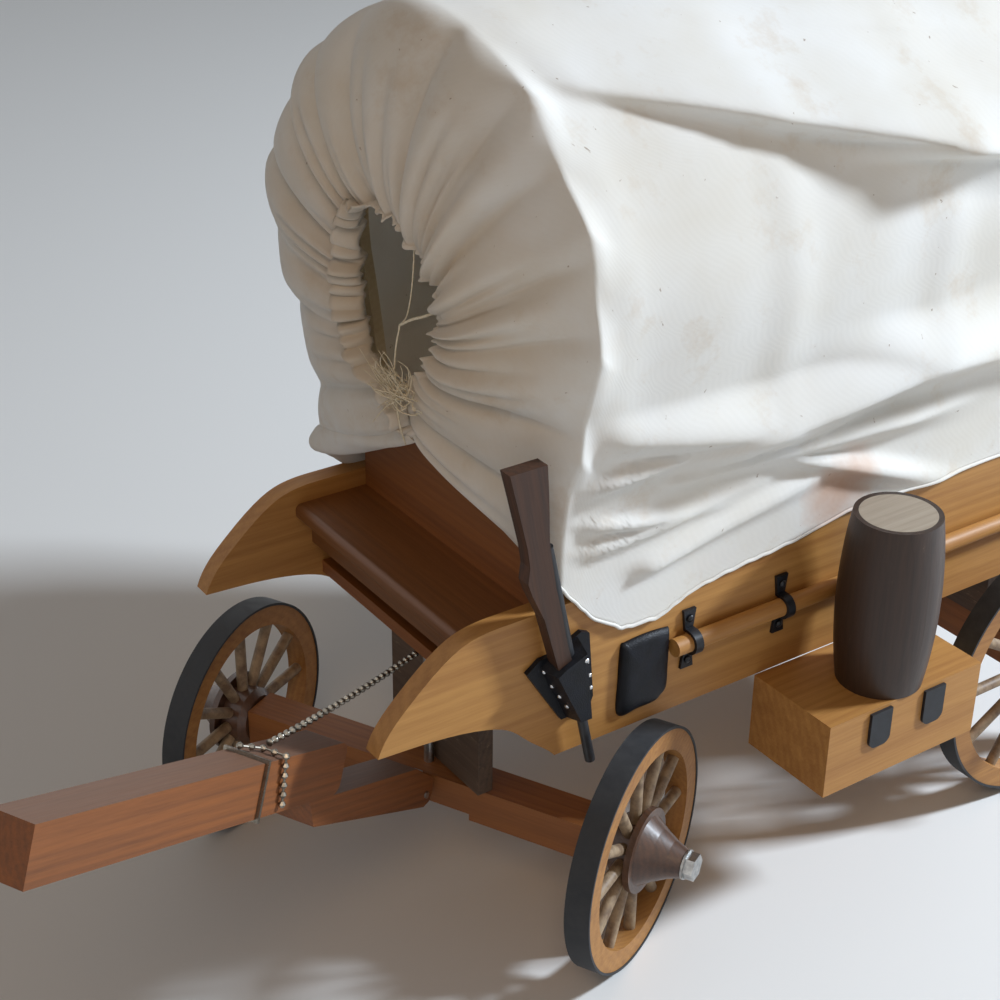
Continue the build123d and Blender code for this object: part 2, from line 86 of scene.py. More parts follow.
# %% Camera
AZIMUTH, ELEVATION, ROLL = np.radians([55.3, 28.25, 0.67])
LENS_MM, SENSOR_MM, NEAREST = 66.97, 36.0, 0.01
CAMERA_MM = np.array([606.7, -381.1, 591.7])


def place(points_mm):
    """Points in millimetres from the floor under the kingpin, as metres in the model's frame."""
    return np.asarray(points_mm, float) / 1000 + PIN


def direction_to(azimuth, elevation):
    """The unit direction from the wagon to a camera or lamp. Azimuth a is an angle from the
    wagon's front towards its left and elevation e an angle above the floor, which gives
    sin a cos e, -cos a cos e and sin e."""
    level = np.cos(elevation)
    return np.array([np.sin(azimuth) * level, -np.cos(azimuth) * level, np.sin(elevation)])


def stand(thing, right, up, back, spot):
    """Puts a camera or lamp at a spot, with its own x, y and z along right, up and back.
    It looks the other way from back."""
    turned = np.eye(4)
    turned[:3] = np.stack([right, up, back, spot], axis=1)
    thing.matrix_world = Matrix(turned.tolist())
    bpy.context.scene.collection.objects.link(thing)


back = direction_to(AZIMUTH, ELEVATION)
level_right = np.array([np.cos(AZIMUTH), np.sin(AZIMUTH), 0.0])
level_up = np.cross(back, level_right)
right = level_right * np.cos(ROLL) + level_up * np.sin(ROLL)
up = level_up * np.cos(ROLL) - level_right * np.sin(ROLL)
camera_data = bpy.data.cameras.new("camera")
camera_data.lens, camera_data.sensor_width, camera_data.clip_start = LENS_MM, SENSOR_MM, NEAREST
camera = bpy.data.objects.new("camera", camera_data)
stand(camera, right, up, back, place(CAMERA_MM))
bpy.context.scene.camera = camera
print("camera at", place(CAMERA_MM).round(3))

# %% [markdown]
# ## Helpers for finishes
# A finish is a small network of nodes. Writing each node out in full hides what matters,
# so one function adds a node, sets its options and joins its inputs. Colours are picked
# as hex codes, which are sRGB, while shaders add up light, so another function turns them
# into linear numbers.

# %% Node and colour helpers
def colour(hex_code):
    """An sRGB hex colour as linear red, green, blue and 1: each channel c becomes
    c / 12.92 below 0.04045 and ((c + 0.055) / 1.055) to the power 2.4 above."""
    srgb = np.array([int(hex_code[i:i + 2], 16) for i in (1, 3, 5)]) / 255
    linear = np.where(srgb <= 0.04045, srgb / 12.92, ((srgb + 0.055) / 1.055) ** 2.4)
    return (*linear.tolist(), 1.0)


def add(tree, kind, inputs=None, stops=(), **settings):
    """Adds a node of this kind. inputs maps a socket's name or number to a value or to
    another node's output, stops are the position and colour of a colour ramp's low and high
    end, and settings are the node's own options."""
    node = tree.nodes.new("ShaderNode" + kind)
    for option, value in settings.items():
        setattr(node, option, value)
    for socket, value in (inputs or {}).items():
        if isinstance(value, bpy.types.NodeSocket):
            tree.links.new(value, node.inputs[socket])
        else:
            node.inputs[socket].default_value = value
    for number, (position, shade) in enumerate(stops):
        end = node.color_ramp.elements[number]
        end.position, end.color = position, shade
    return node


def new_finish(name):
    """An empty material with its shader: returns the material, its tree and shader."""
    material = bpy.data.materials.new(name)
    material.use_nodes = True
    tree = material.node_tree
    return material, tree, tree.nodes["Principled BSDF"]


def finish_nodes(material, names):
    """Gives a finish to CAD pieces through their objects' own material slots. A name that
    ends with a low line stands for every piece whose name begins like it."""
    pieces = [piece for node, piece in nodes.items()
              if any(node == name or name.endswith("_") and node.startswith(name) for name in names)]
    for piece in pieces:
        if not piece.data.materials:
            piece.data.materials.append(material)
        for slot in piece.material_slots:
            slot.link = "OBJECT"
            slot.material = material
    print(material.name, "on", len(pieces), "pieces")


print("#808080 in linear light:", round(colour("#808080")[0], 3))

# %% [markdown]
# ## Light and floor
# One small lamp stands behind the wagon's left side, as a window would, so that its light
# grazes the cloth. A weaker, warmer and larger one lights the front from the left and above.
# The side of the cover is then bright and its gathered front is in half shade, which makes
# every pleat readable. The world adds a grey light from all sides, but is white where the
# camera or a reflection meets it. The floor is plain and pale.

# %% World, lamps and floor
WAGON_MIDDLE_MM, FLOOR_REACH = [0, 130, 200], 8.0


def lamp(name, azimuth, elevation, distance, size, watts, hex_code):
    """A square lamp of this size in metres that faces the wagon's middle from a distance in
    metres. Its angles are in degrees and turn as the camera's do."""
    data = bpy.data.lights.new(name, "AREA")
    data.shape, data.size, data.energy = "SQUARE", size, watts
    data.color = colour(hex_code)[:3]
    back = direction_to(*np.radians([azimuth, elevation]))
    right = np.cross([0, 0, 1.0], back)
    right = right / np.linalg.norm(right)
    spot = place(WAGON_MIDDLE_MM) + back * distance
    stand(bpy.data.objects.new(name, data), right, np.cross(back, right), back, spot)


lamp("window_lamp", azimuth=154, elevation=31, distance=2.2, size=0.25, watts=80, hex_code="#DDEAF8")
lamp("front_lamp", azimuth=48, elevation=42, distance=2.4, size=0.8, watts=7, hex_code="#FFD6A8")

world = bpy.data.worlds.new("studio")
world.use_nodes = True
bpy.context.scene.world = world
tree = world.node_tree
tree.nodes.clear()
rays = add(tree, "LightPath").outputs
seen = add(tree, "Math", {0: rays["Is Camera Ray"], 1: rays["Is Glossy Ray"]}, operation="MAXIMUM")
seen = add(tree, "Math", {0: seen.outputs[0], 1: rays["Is Transmission Ray"]}, operation="MAXIMUM")
light = add(tree, "Background", {"Color": colour("#E8EBF0"), "Strength": 0.22})
white = add(tree, "Background", {"Color": colour("#FFFFFF"), "Strength": 1.0})
both = add(tree, "MixShader", {0: seen.outputs[0], 1: light.outputs[0], 2: white.outputs[0]})
add(tree, "OutputWorld", {0: both.outputs[0]})

floor_z = cad_box[0][2]
floor_corners = [(x * FLOOR_REACH, y * FLOOR_REACH, floor_z) for x, y in ((-1, -1), (1, -1), (1, 1), (-1, 1))]
floor_mesh = bpy.data.meshes.new("floor")
floor_mesh.from_pydata(floor_corners, [], [(0, 1, 2, 3)])
floor = bpy.data.objects.new("floor", floor_mesh)
bpy.context.scene.collection.objects.link(floor)
floor_paint, tree, shader = new_finish("matt_studio_paint")
shader.inputs["Base Color"].default_value = colour("#E4E2DE")
shader.inputs["Roughness"].default_value = 0.9
floor_mesh.materials.append(floor_paint)
bpy.context.scene.view_settings.view_transform = "Standard"
print("lamps and floor are in place")

# %% [markdown]
# ## Oiled and stained wood
# All the boards are pine. A sawn board shows growth rings, cut lengthwise, so they run as
# long lines on a face and as arcs on an end. The recipe is rings about the grain's own
# direction, bent a little by noise that is stretched along the grain, with much finer
# stretched noise on top for the fibres. The same recipe with darker stops makes the
# stained boards, and a thin clear coat makes the turned hubs shine.

# %% Wood recipe
# a wave node's scale is this number over the spacing of its lines in millimetres
WAVE_MM = 314
# noise is stretched along the grain: its scales are along the grain and across it both ways
RING_STRETCH, VEIN_ALONG, VEIN_ACROSS_MM = (0.07, 1, 1), 3.2, 620
FIBRE_SCALE, WORN_SCALE, CLOUD_SCALE = (45, 900, 900), (60, 260, 260), 22.0
# how much each pattern adds to the dark shade, and what is taken off their sum
RING_SHARE, VEIN_SHARE, FIBRE_SHARE, CLOUD_SHARE, TAKEN_OFF = 0.1, 0.72, 0.35, 0.55, -0.12


def wood(name, light_hex, dark_hex, grain=(0, 1, 0), ring_mm=5.0, roughness=0.55, coat=0.0,
         wear_hex=None, wear_from=0.66, heart_mm=(40, 0, -60), painted_top_light_hex=None):
    """Wood whose rings run along grain round the tree's heart. Rings are a faint wave of
    the distance from the heart's line, veins are noise drawn out along it, fibres are finer
    noise squeezed to a twentieth across it, and wear is a mask of broken noise that lets
    another colour through. The colour for the top is painted light: faces that look up take it."""
    material, tree, shader = new_finish(name)
    spot = add(tree, "TexCoord").outputs["Object"]
    along = np.array(grain, float) / np.linalg.norm(grain)
    turn = (0, -math.asin(along[2]), math.atan2(along[1], along[0]))
    turned = add(tree, "VectorRotate", {"Vector": spot, "Rotation": turn},
                 rotation_type="EULER_XYZ", invert=True).outputs[0]
    heart = [v / 1000 for v in heart_mm]
    rings_at = add(tree, "Mapping", {"Vector": turned, "Location": heart, "Scale": RING_STRETCH}).outputs[0]
    rings = add(tree, "TexWave", {"Vector": rings_at, "Scale": WAVE_MM / ring_mm, "Distortion": 7.0,
                                  "Detail": 2.0, "Detail Scale": 0.25, "Detail Roughness": 0.55},
                wave_type="RINGS", rings_direction="X").outputs[0]
    vein_scale = (VEIN_ALONG, VEIN_ACROSS_MM / ring_mm, VEIN_ACROSS_MM / ring_mm)
    veins_at = add(tree, "Mapping", {"Vector": turned, "Location": heart, "Scale": vein_scale}).outputs[0]
    veins = add(tree, "TexNoise", {"Vector": veins_at, "Scale": 1.0, "Detail": 5.0, "Roughness": 0.62,
                                   "Distortion": 0.5}).outputs[0]
    fibres_at = add(tree, "Mapping", {"Vector": turned, "Scale": FIBRE_SCALE}).outputs[0]
    fibres = add(tree, "TexNoise", {"Vector": fibres_at, "Scale": 1.0, "Detail": 4.0,
                                    "Roughness": 0.65}).outputs[0]
    cloud = add(tree, "TexNoise", {"Vector": rings_at, "Scale": CLOUD_SCALE, "Detail": 3.0}).outputs[0]
    dark = add(tree, "Math", {0: rings, 1: RING_SHARE, 2: TAKEN_OFF}, operation="MULTIPLY_ADD").outputs[0]
    dark = add(tree, "Math", {0: veins, 1: VEIN_SHARE, 2: dark}, operation="MULTIPLY_ADD").outputs[0]
    height = add(tree, "Math", {0: fibres, 1: FIBRE_SHARE, 2: dark}, operation="MULTIPLY_ADD").outputs[0]
    dark = add(tree, "Math", {0: cloud, 1: CLOUD_SHARE, 2: height}, operation="MULTIPLY_ADD").outputs[0]
    shade = add(tree, "ValToRGB", {0: dark}, [(0.22, colour(light_hex)), (0.95, colour(dark_hex))]).outputs[0]
    # painted light: faces that look up are mixed towards the top colour, standing in for light from above
    if painted_top_light_hex:
        faces = add(tree, "NewGeometry").outputs["Normal"]
        upward = add(tree, "SeparateXYZ", {0: faces}).outputs["Z"]
        mask = add(tree, "MapRange", {"Value": upward, "From Min": 0.5, "From Max": 0.9,
                                      "To Max": 0.8}).outputs[0]
        shade = add(tree, "Mix", {0: mask, 6: shade, 7: colour(painted_top_light_hex)}, data_type="RGBA").outputs[2]
    if wear_hex:
        worn_at = add(tree, "Mapping", {"Vector": turned, "Scale": WORN_SCALE}).outputs[0]
        worn = add(tree, "TexNoise", {"Vector": worn_at, "Scale": 1.0, "Detail": 6.0,
                                      "Roughness": 0.75}).outputs[0]
        mask = add(tree, "MapRange", {"Value": worn, "From Min": wear_from, "From Max": wear_from + 0.08,
                                      "To Max": 0.75}).outputs[0]
        shade = add(tree, "Mix", {0: mask, 6: shade, 7: colour(wear_hex)}, data_type="RGBA").outputs[2]
    tree.links.new(shade, shader.inputs["Base Color"])
    gloss = add(tree, "MapRange", {"Value": fibres, "To Min": roughness - 0.1, "To Max": roughness + 0.12})
    tree.links.new(gloss.outputs[0], shader.inputs["Roughness"])
    relief = add(tree, "Bump", {"Height": height, "Strength": 0.35, "Distance": 0.0003})
    tree.links.new(relief.outputs[0], shader.inputs["Normal"])
    shader.inputs["IOR"].default_value = 1.5
    shader.inputs["Coat Weight"].default_value = coat
    shader.inputs["Coat Roughness"].default_value = 0.18
    return material


print("fibres are drawn", round(1000 / FIBRE_SCALE[1], 2), "mm apart across the grain")

# %% [markdown]
# ## Which wood goes where
# The side boards, the floor, the box and the rod are honey pine. The seat and the boards
# under and behind it are stained darker. The front gear is orange pine, and the faces of its
# tongue that look up are painted grey, a painted cool light from above. It stands turned to
# the wagon's left with the tongue raised, so the grain of the axle beam and of the tongue is
# turned with them. Hubs, barrel and lid are turned on a lathe, the rifle's stock is whittled
# and the bows of the cover are bent ash.

# %% Wooden pieces
GEAR_TURN, TONGUE_RISE = np.radians([27, 24])
ALONG_TONGUE = (math.sin(GEAR_TURN) * math.cos(TONGUE_RISE), -math.cos(GEAR_TURN) * math.cos(TONGUE_RISE),
                math.sin(TONGUE_RISE))
ALONG_AXLE = (math.cos(GEAR_TURN), math.sin(GEAR_TURN), 0)
ACROSS, UPRIGHT, ALONG_STOCK = (1, 0, 0), (0, 0, 1), (0, -0.2, 1)
WOODS = [
    # finish, light and dark shade, what else sets it apart and the pieces that have it
    ("oiled_pine_sawn", "#C99650", "#96642D", dict(ring_mm=4.6, wear_hex="#7A4E24", wear_from=0.7),
     ["side_board_left", "side_board_right", "floor_board", "side_box", "side_moulding"]),
    ("stained_pine_panel", "#A4642B", "#703F17", dict(grain=ACROSS, ring_mm=3.8, heart_mm=(0, 30, -90)),
     ["front_panel", "tail_board", "foot_panel", "toe_board"]),
    ("walnut_stained_pine", "#8C5728", "#5E3714",
     dict(grain=ACROSS, ring_mm=3.4, heart_mm=(0, 60, -140), roughness=0.5, coat=0.05),
     ["seat_board", "seat_rail"]),
    ("smoked_pine_block", "#6E5845", "#403126",
     dict(grain=ACROSS, ring_mm=3.0, wear_hex="#88735D", wear_from=0.6), ["front_bolster", "rear_bolster"]),
    ("orange_pine_beam", "#A8692F", "#70411B", dict(grain=ALONG_AXLE, ring_mm=3.0, wear_hex="#4D2C17"),
     ["front_axle_beam"]),
    ("orange_pine_rear_beam", "#A8692F", "#70411B", dict(grain=ACROSS, ring_mm=3.0), ["rear_axle_beam"]),
    # the tongue's greyer top is painted cool light on faces that look up; its wear is real
    ("weathered_pine_pole_painted_top_light", "#A35F28", "#633818",
     dict(grain=ALONG_TONGUE, ring_mm=2.8, wear_hex="#8A7361", painted_top_light_hex="#62493A"), ["tongue", "hound_board"]),
    ("planed_pine_rim", "#BB8645", "#87592A",
     dict(ring_mm=2.6, wear_hex="#634428", wear_from=0.64, heart_mm=(0, 20, -40)), ["rim_"]),
    ("varnished_turned_maple", "#6A4630", "#3A2518",
     dict(grain=ACROSS, ring_mm=2.4, roughness=0.42, coat=0.25, wear_hex="#8A684E"), ["hub_"]),
    ("stained_turned_barrel", "#402A1C", "#23150C",
     dict(grain=UPRIGHT, ring_mm=3.4, roughness=0.52, coat=0.1, wear_hex="#8C735E", wear_from=0.7),
     ["barrel"]),
    ("bare_grey_disc", "#B3A694", "#877866", dict(ring_mm=3.0, roughness=0.7), ["barrel_lid"]),
    ("whittled_stained_stock", "#5A3317", "#2B170A", dict(grain=ALONG_STOCK, ring_mm=3.0, roughness=0.58),
     ["rifle_stock"]),
    ("bent_ash_bow", "#E9DCC0", "#D3C09A", dict(grain=ACROSS, ring_mm=3.0), ["cover_bows"])]
for name, light_hex, dark_hex, more, pieces in WOODS:
    finish_nodes(wood(name, light_hex, dark_hex, **more), pieces)

# %% [markdown]
# ## Paint, steel and leather
# The tyres are card or thin ply under charcoal paint, which looks flat and a little
# dusty, and the spokes are dowels whose colour drifts in short patches. Straps and latch
# are blackened iron. Bolts are bright zinc plate, and the beads of the chain are steel gone
# dull. The leather is black with a soft gloss, and its grain is a net of small cells,
# drawn at about a millimetre.

# %% Metal, paint and leather finishes
def coated(name, hex_code, second_hex, patch_mm, roughness, metallic=0.0, bump=0.2, bump_mm=0.1,
           cells=0, mirror=0.5):
    """A surface whose colour and gloss drift between two shades in patches of this size:
    noise for paint and plating. Its relief is fine noise, or the edges of a cell pattern of
    so many cells to the metre, as in leather grain. mirror is how strongly it mirrors, and
    wax or dust brings it below the usual half."""
    material, tree, shader = new_finish(name)
    spot = add(tree, "TexCoord").outputs["Object"]
    patches = add(tree, "TexNoise", {"Vector": spot, "Scale": 1000 / patch_mm, "Detail": 5.0,
                                     "Roughness": 0.6}).outputs[0]
    shade = add(tree, "ValToRGB", {0: patches}, [(0.35, colour(hex_code)), (0.7, colour(second_hex))])
    tree.links.new(shade.outputs[0], shader.inputs["Base Color"])
    gloss = add(tree, "MapRange", {"Value": patches, "From Min": 0.3, "From Max": 0.7,
                                   "To Min": roughness - 0.07, "To Max": roughness + 0.1})
    tree.links.new(gloss.outputs[0], shader.inputs["Roughness"])
    if cells:
        net = add(tree, "TexVoronoi", {"Vector": spot, "Scale": cells}, feature="DISTANCE_TO_EDGE")
        height = add(tree, "MapRange", {"Value": net.outputs["Distance"], "From Max": 0.25}).outputs[0]
    else:
        height = add(tree, "TexNoise", {"Vector": spot, "Scale": 1400.0, "Detail": 3.0}).outputs[0]
    relief = add(tree, "Bump", {"Height": height, "Strength": bump, "Distance": bump_mm / 1000})
    tree.links.new(relief.outputs[0], shader.inputs["Normal"])
    shader.inputs["Metallic"].default_value = metallic
    shader.inputs["Specular IOR Level"].default_value = mirror
    return material


spoke_wood = coated("weathered_birch_dowel", "#6B5540", "#A58E70", 6.0, 0.58, bump=0.3)
finish_nodes(spoke_wood, ["spokes_"])
tyre_paint = coated("charcoal_brushed_paint", "#2A2C2F", "#3A3B3D", 7.0, 0.66, bump=0.35, mirror=0.3)
finish_nodes(tyre_paint, ["tyre_"])
black_iron = coated("blackened_forged_iron", "#111216", "#24262B", 5.0, 0.36, bump=0.3, mirror=0.3)
finish_nodes(black_iron, ["moulding_bracket_front", "moulding_bracket_rear", "side_box_latch"])
zinc = coated("zinc_plated_steel", "#B9BAB8", "#8E9092", 3.0, 0.34, metallic=1.0, bump=0.12)
finish_nodes(zinc, ["front_axle_bolts", "rear_axle_bolts", "kingpin", "tongue_hinge"])
bead_steel = coated("tarnished_steel_beads", "#9C968B", "#6F6A61", 4.0, 0.3, metallic=1.0, bump=0.05)
finish_nodes(bead_steel, ["chain", "chain_ring", "tongue_chain"])
gun_black = coated("black_enamel_tube", "#17181B", "#26282C", 6.0, 0.4)
finish_nodes(gun_black, ["rifle_barrel"])
hide = coated("black_chrome_tanned_leather", "#0B0C10", "#171920", 6.0, 0.42, bump=0.35, bump_mm=0.15,
              cells=900, mirror=0.2)
finish_nodes(hide, ["scabbard", "leather_pad"])

# %% [markdown]
# ## Surfaces from grids
# Every new piece is a sheet of points in rows and columns. A formula gives all the points
# at once, and one function turns the grid into a mesh, with a UV map in real millimetres
# so that a weave has the same size everywhere.

# %% Grid helper
# points closer than this many metres become one
MERGE_WITHIN = 2e-6


def grid_piece(name, points_mm, material, body, ring=False, flip=False, uv_mm=None):
    """A mesh from a (rows, columns, 3) array of millimetre points. Each four neighbours
    make one face, ring joins the last column to the first, and points that coincide, as
    at a pole, are merged. A piece with None for its body is attached to no body."""
    rows, columns = points_mm.shape[:2]
    index = np.arange(rows * columns).reshape(rows, columns)
    if ring:
        index = np.concatenate([index, index[:, :1]], axis=1)
    faces = np.stack([index[:-1, :-1], index[:-1, 1:], index[1:, 1:], index[1:, :-1]], axis=-1).reshape(-1, 4)
    if flip:
        faces = faces[:, ::-1]
    mesh = bpy.data.meshes.new(name)
    mesh.from_pydata(place(points_mm.reshape(-1, 3)).tolist(), [], faces.tolist())
    if uv_mm is not None:
        layer = mesh.uv_layers.new(name="cloth")
        corners = np.zeros(len(mesh.loops), int)
        mesh.loops.foreach_get("vertex_index", corners)
        layer.data.foreach_set("uv", (uv_mm.reshape(-1, 2)[corners] / 1000).astype(np.float32).ravel())
    else:
        work = bmesh.new()
        work.from_mesh(mesh)
        bmesh.ops.remove_doubles(work, verts=work.verts, dist=MERGE_WITHIN)
        work.to_mesh(mesh)
        work.free()
    mesh.shade_smooth()
    mesh.materials.append(material)
    piece = bpy.data.objects.new(name, mesh)
    bpy.context.scene.collection.objects.link(piece)
    if body:
        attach(piece, body)
    print(name, "has", len(mesh.polygons), "faces")
    return piece

# %% [markdown]
# ## Lines and tubes
# Edges, threads and the chain follow lines through a few chosen points. Straight pieces
# between them would show as corners, so a smooth line is laid through the points and then
# divided evenly by length. A tube is a ring of points carried along such a line.

# %% Line and tube helpers
# a line is worked out in so many steps between two table points, and no path runs this way
FINE_STEPS, OFF_PATH = 24, np.array([0.13, 0.21, 0.97])


def lengths(points):
    """How far each row of points lies from the first row: the running sum of the steps
    between rows, along a line or along every column of a sheet."""
    steps = np.linalg.norm(np.diff(points, axis=0), axis=-1)
    return np.concatenate([0 * steps[:1], np.cumsum(steps, axis=0)])


def smooth_line(points, count, closed=False):
    """count points, evenly spaced, on a Catmull-Rom line through a short table: between
    two table points the line is a cubic whose slopes come from their neighbours."""
    p = np.asarray(points, float)
    if closed:
        q = np.concatenate([p[-1:], p, p[:1], p[1:2]])
    else:
        q = np.concatenate([2 * p[:1] - p[1:2], p, 2 * p[-1:] - p[-2:-1]])
    t = np.linspace(0, 1, FINE_STEPS, endpoint=False)[None, :, None]
    a, b, c, d = (q[i:len(q) - 3 + i, None] for i in range(4))
    square, cube = 2 * a - 5 * b + 4 * c - d, 3 * b - a - 3 * c + d
    fine = 0.5 * (2 * b + (c - a) * t + square * t ** 2 + cube * t ** 3)
    fine = np.concatenate([fine.reshape(-1, p.shape[1]), p[:1] if closed else p[-1:]])
    run = lengths(fine)
    want = np.linspace(0, run[-1], count + 1)[:-1] if closed else np.linspace(0, run[-1], count)
    return np.stack([np.interp(want, run, fine[:, k]) for k in range(p.shape[1])], axis=1)


def tube(path_mm, radius_mm, sides, twist=0.0, lobes=0, lobe=0.0):
    """Rings of points round a path: each ring stands square to the path, and radius may be
    one number or one for each point. Lobes ripple it by this share, and turn by twist
    radians from end to end. Both ends close to a point."""
    path = np.asarray(path_mm, float)
    heading = np.gradient(path, axis=0)
    heading /= np.linalg.norm(heading, axis=1, keepdims=True)
    side = np.cross(heading, OFF_PATH)
    side /= np.linalg.norm(side, axis=1, keepdims=True)
    over = np.cross(side, heading)
    share = np.linspace(0, 1, len(path))[:, None]
    angle = np.linspace(0, 2 * np.pi, sides, endpoint=False)[None, :]
    size = np.broadcast_to(radius_mm, len(path)).astype(float)[:, None]
    size = size * (1 + lobe * np.sin(lobes * angle + twist * share))
    out = np.cos(angle)[..., None] * side[:, None] + np.sin(angle)[..., None] * over[:, None]
    rings = path[:, None] + size[..., None] * out
    first = np.repeat(path[:1, None], sides, axis=1)
    last = np.repeat(path[-1:, None], sides, axis=1)
    return np.concatenate([first, rings, last])


print("a metre of straight line measures", lengths(np.array([[0.0, 0], [0.3, 0], [1, 0]]))[-1])

# %% [markdown]
# ## The cotton cover
# The cover is one rectangle of cream twill. It lies over five bows, and a drawstring
# gathers each end into a round mouth, with a short ruffle beyond the string. A cloth
# simulation would make folds of its own choice, while the real folds are known, so the
# sheet is a function of two parameters: one runs over the wagon from hem to hem, the other
# along it from mouth to mouth. Ahead of the first bow the right side is drawn in and rounds
# over higher up.

# %% Hoops of the cover
AROUND, BODY_ROWS, GATHER_ROWS, RUFFLE_ROWS, HOOP_POINTS = 281, 82, 36, 8, 801
# x and z from the hem up to the middle of the top
HALF_PROFILE = [
    (82.4, 150), (82.4, 176), (82.6, 205), (84, 232), (89, 258), (95.5, 288), (97.5, 318), (93, 343),
    (81, 368), (58, 396), (30, 416), (0, 424.5)]
RIGHT_PROFILE = [
    (82.6, 150), (84, 176), (85, 205), (83.5, 232), (83, 258), (88, 284), (94.5, 308), (94, 330), (86, 354),
    (71, 378), (50, 400), (28, 417), (0, 424.5)]
# y and height of the left and of the right hem
LEFT_HEM = [
    (12, 199), (20, 190), (30, 178), (45.6, 168.5), (65, 167.2), (87, 174.5), (121, 178.7), (145, 181.6),
    (175, 186.5), (395.5, 187)]
RIGHT_HEM = [(12, 202), (40, 176), (90, 180), (395, 186)]
# where the cover's straight part begins and ends, and where the drawn-in side has gone
COVER_FRONT, COVER_REAR, PLAIN_FROM = 12.0, 395.5, 32.0
# how far the front hoop leans ahead on the right, and half the width of the wagon's body
LEAN, BODY_HALF = 22.0, 81.0


def whole_hoop(left_half, right_half):
    """One smooth line over the wagon, from two half profiles that meet at the top."""
    return smooth_line(left_half + [(-x, z) for x, z in right_half[-2::-1]], HOOP_POINTS)


profile = whole_hoop(HALF_PROFILE, HALF_PROFILE)
front_profile = whole_hoop(HALF_PROFILE, RIGHT_PROFILE)


def hems(y):
    """The heights of both hems at y, on straight lines between the points of a table."""
    return [np.interp(y, *np.array(table).T) for table in (LEFT_HEM, RIGHT_HEM)]


def smooth_step(low_edge, high_edge, value):
    """0 below one edge, 1 above the other and 3 t^2 - 2 t^3 between them."""
    t = np.clip((value - low_edge) / (high_edge - low_edge), 0, 1)
    return t * t * (3 - 2 * t)


def hoop(y, hem_left, hem_right):
    """The cover's outline across the wagon at y, from the left hem over the top to the
    right hem: the profile cut at both hems and divided evenly by length."""
    whole = profile + (front_profile - profile) * smooth_step(PLAIN_FROM, COVER_FRONT, y)
    half = len(whole) // 2
    start = np.argmin(abs(whole[:half, 1] - hem_left))
    stop = half + np.argmin(abs(whole[half:, 1] - hem_right))
    part = whole[start:stop + 1]
    run = lengths(part)
    want = np.linspace(0, run[-1], AROUND)
    x, z = np.interp(want, run, part[:, 0]), np.interp(want, run, part[:, 1])
    return np.stack([x, np.full(AROUND, float(y)), z], axis=1)


def lean_ahead(points):
    """How far the front hoop stands ahead: nothing on the left, LEAN on the right, and
    less near the hem."""
    across_body = (BODY_HALF - points[..., 0]) / (2 * BODY_HALF)
    return LEAN * across_body * (0.68 + 0.32 * smooth_step(215, 335, points[..., 2]))


front_hoop = hoop(COVER_FRONT, *hems(COVER_FRONT))
front_hoop[:, 1] -= lean_ahead(front_hoop)
print("front hoop is", lengths(front_hoop)[-1].round(1), "mm round from hem to hem")

# %% [markdown]
# ## The mouth
# The string pulls the cloth into an upright oval that stands left of the middle. A circle
# would look machine made, so the mouth is a smooth line through a few points. Each point
# says which part of the hoop ends there, and so where the pleats crowd.

# %% Mouth line
MOUTH = [
    # share round the hoop, x, y, z
    (0.00, 8, -6, 243), (0.06, 9, -11, 258), (0.10, 14, -14, 269), (0.15, 27, -16, 281),
    (0.22, 38, -17, 294), (0.31, 41, -18, 311), (0.39, 37, -18, 326), (0.47, 25, -19, 340),
    (0.54, 9, -20, 347), (0.62, -8, -20, 345), (0.70, -16.5, -19, 332), (0.78, -18.5, -18, 312),
    (0.86, -18, -17, 292), (0.92, -14, -15, 275), (0.96, 1, -13, 263), (1.00, 6, -8, 245)]
MOUTH_POINTS = 800
across = np.linspace(0, 1, AROUND)
mouth_table = np.array(MOUTH)
mouth = smooth_line(mouth_table[:, 1:], MOUTH_POINTS)
mouth_share = np.interp(np.linspace(0, 1, MOUTH_POINTS), np.linspace(0, 1, len(MOUTH)), mouth_table[:, 0])
mouth = np.stack([np.interp(across, mouth_share, mouth[:, k]) for k in range(3)], axis=1)
print("mouth is", (np.ptp(mouth[:, 0])).round(1), "mm wide and", (np.ptp(mouth[:, 2])).round(1), "mm high")

# %% [markdown]
# ## Pleats
# Gathered cloth makes soft ridges with sharp valleys between them. Each ridge is one half
# wave, |sin|, of a phase that runs round the hoop, and the phase isn't even: its speed
# drifts, so no two pleats are alike. Wide pleats start at the hoop, where they pull the
# cloth out into blunt corners, middling ones join halfway and narrow ones at the string.

# %% Pleats
# how far a pleat drifts from its even place, and in how many waves round the hoop
DRIFT, DRIFT_WAVES = 0.014, (2, 3, 5, 8)
PLEATS = [
    # how many, seed, power and level of the ridges, height, shares where they start and are
    # full, how much they flatten towards the string, and whether their height wavers
    (15, 0, 0.6, 0.62, 15.0, -0.05, 0.5, 0.55, True),
    (27, 5, 0.6, 0.6, 6.0, 0.25, 0.7, 0.3, False),
    (43, 1, 0.8, 0.4, 3.4, 0.55, 0.95, 0.0, False)]


def phase(share, count, seed):
    """An uneven count of pleats: the share plus four small sine drifts, times count."""
    rng = np.random.default_rng(seed)
    drift = sum(rng.uniform(0.2, 1.0) * DRIFT * np.sin(2 * np.pi * (k * share + rng.random()))
                for k in DRIFT_WAVES)
    return count * (share + drift)


def ridges(count, seed, power):
    """Soft ridges with sharp valleys: |sin| of the uneven phase, raised to a power
    below one, which rounds the ridges and narrows the valleys."""
    return abs(np.sin(np.pi * phase(across, count, seed))) ** power


def pulled_out(corners):
    """How far the pleats draw the cloth out over the hoop itself: blunt corners, each a
    triangle with its own share round the hoop, half width and height."""
    return sum(height * np.clip(1 - abs(across - at) / wide, 0, 1) ** 1.3 for at, wide, height in corners)


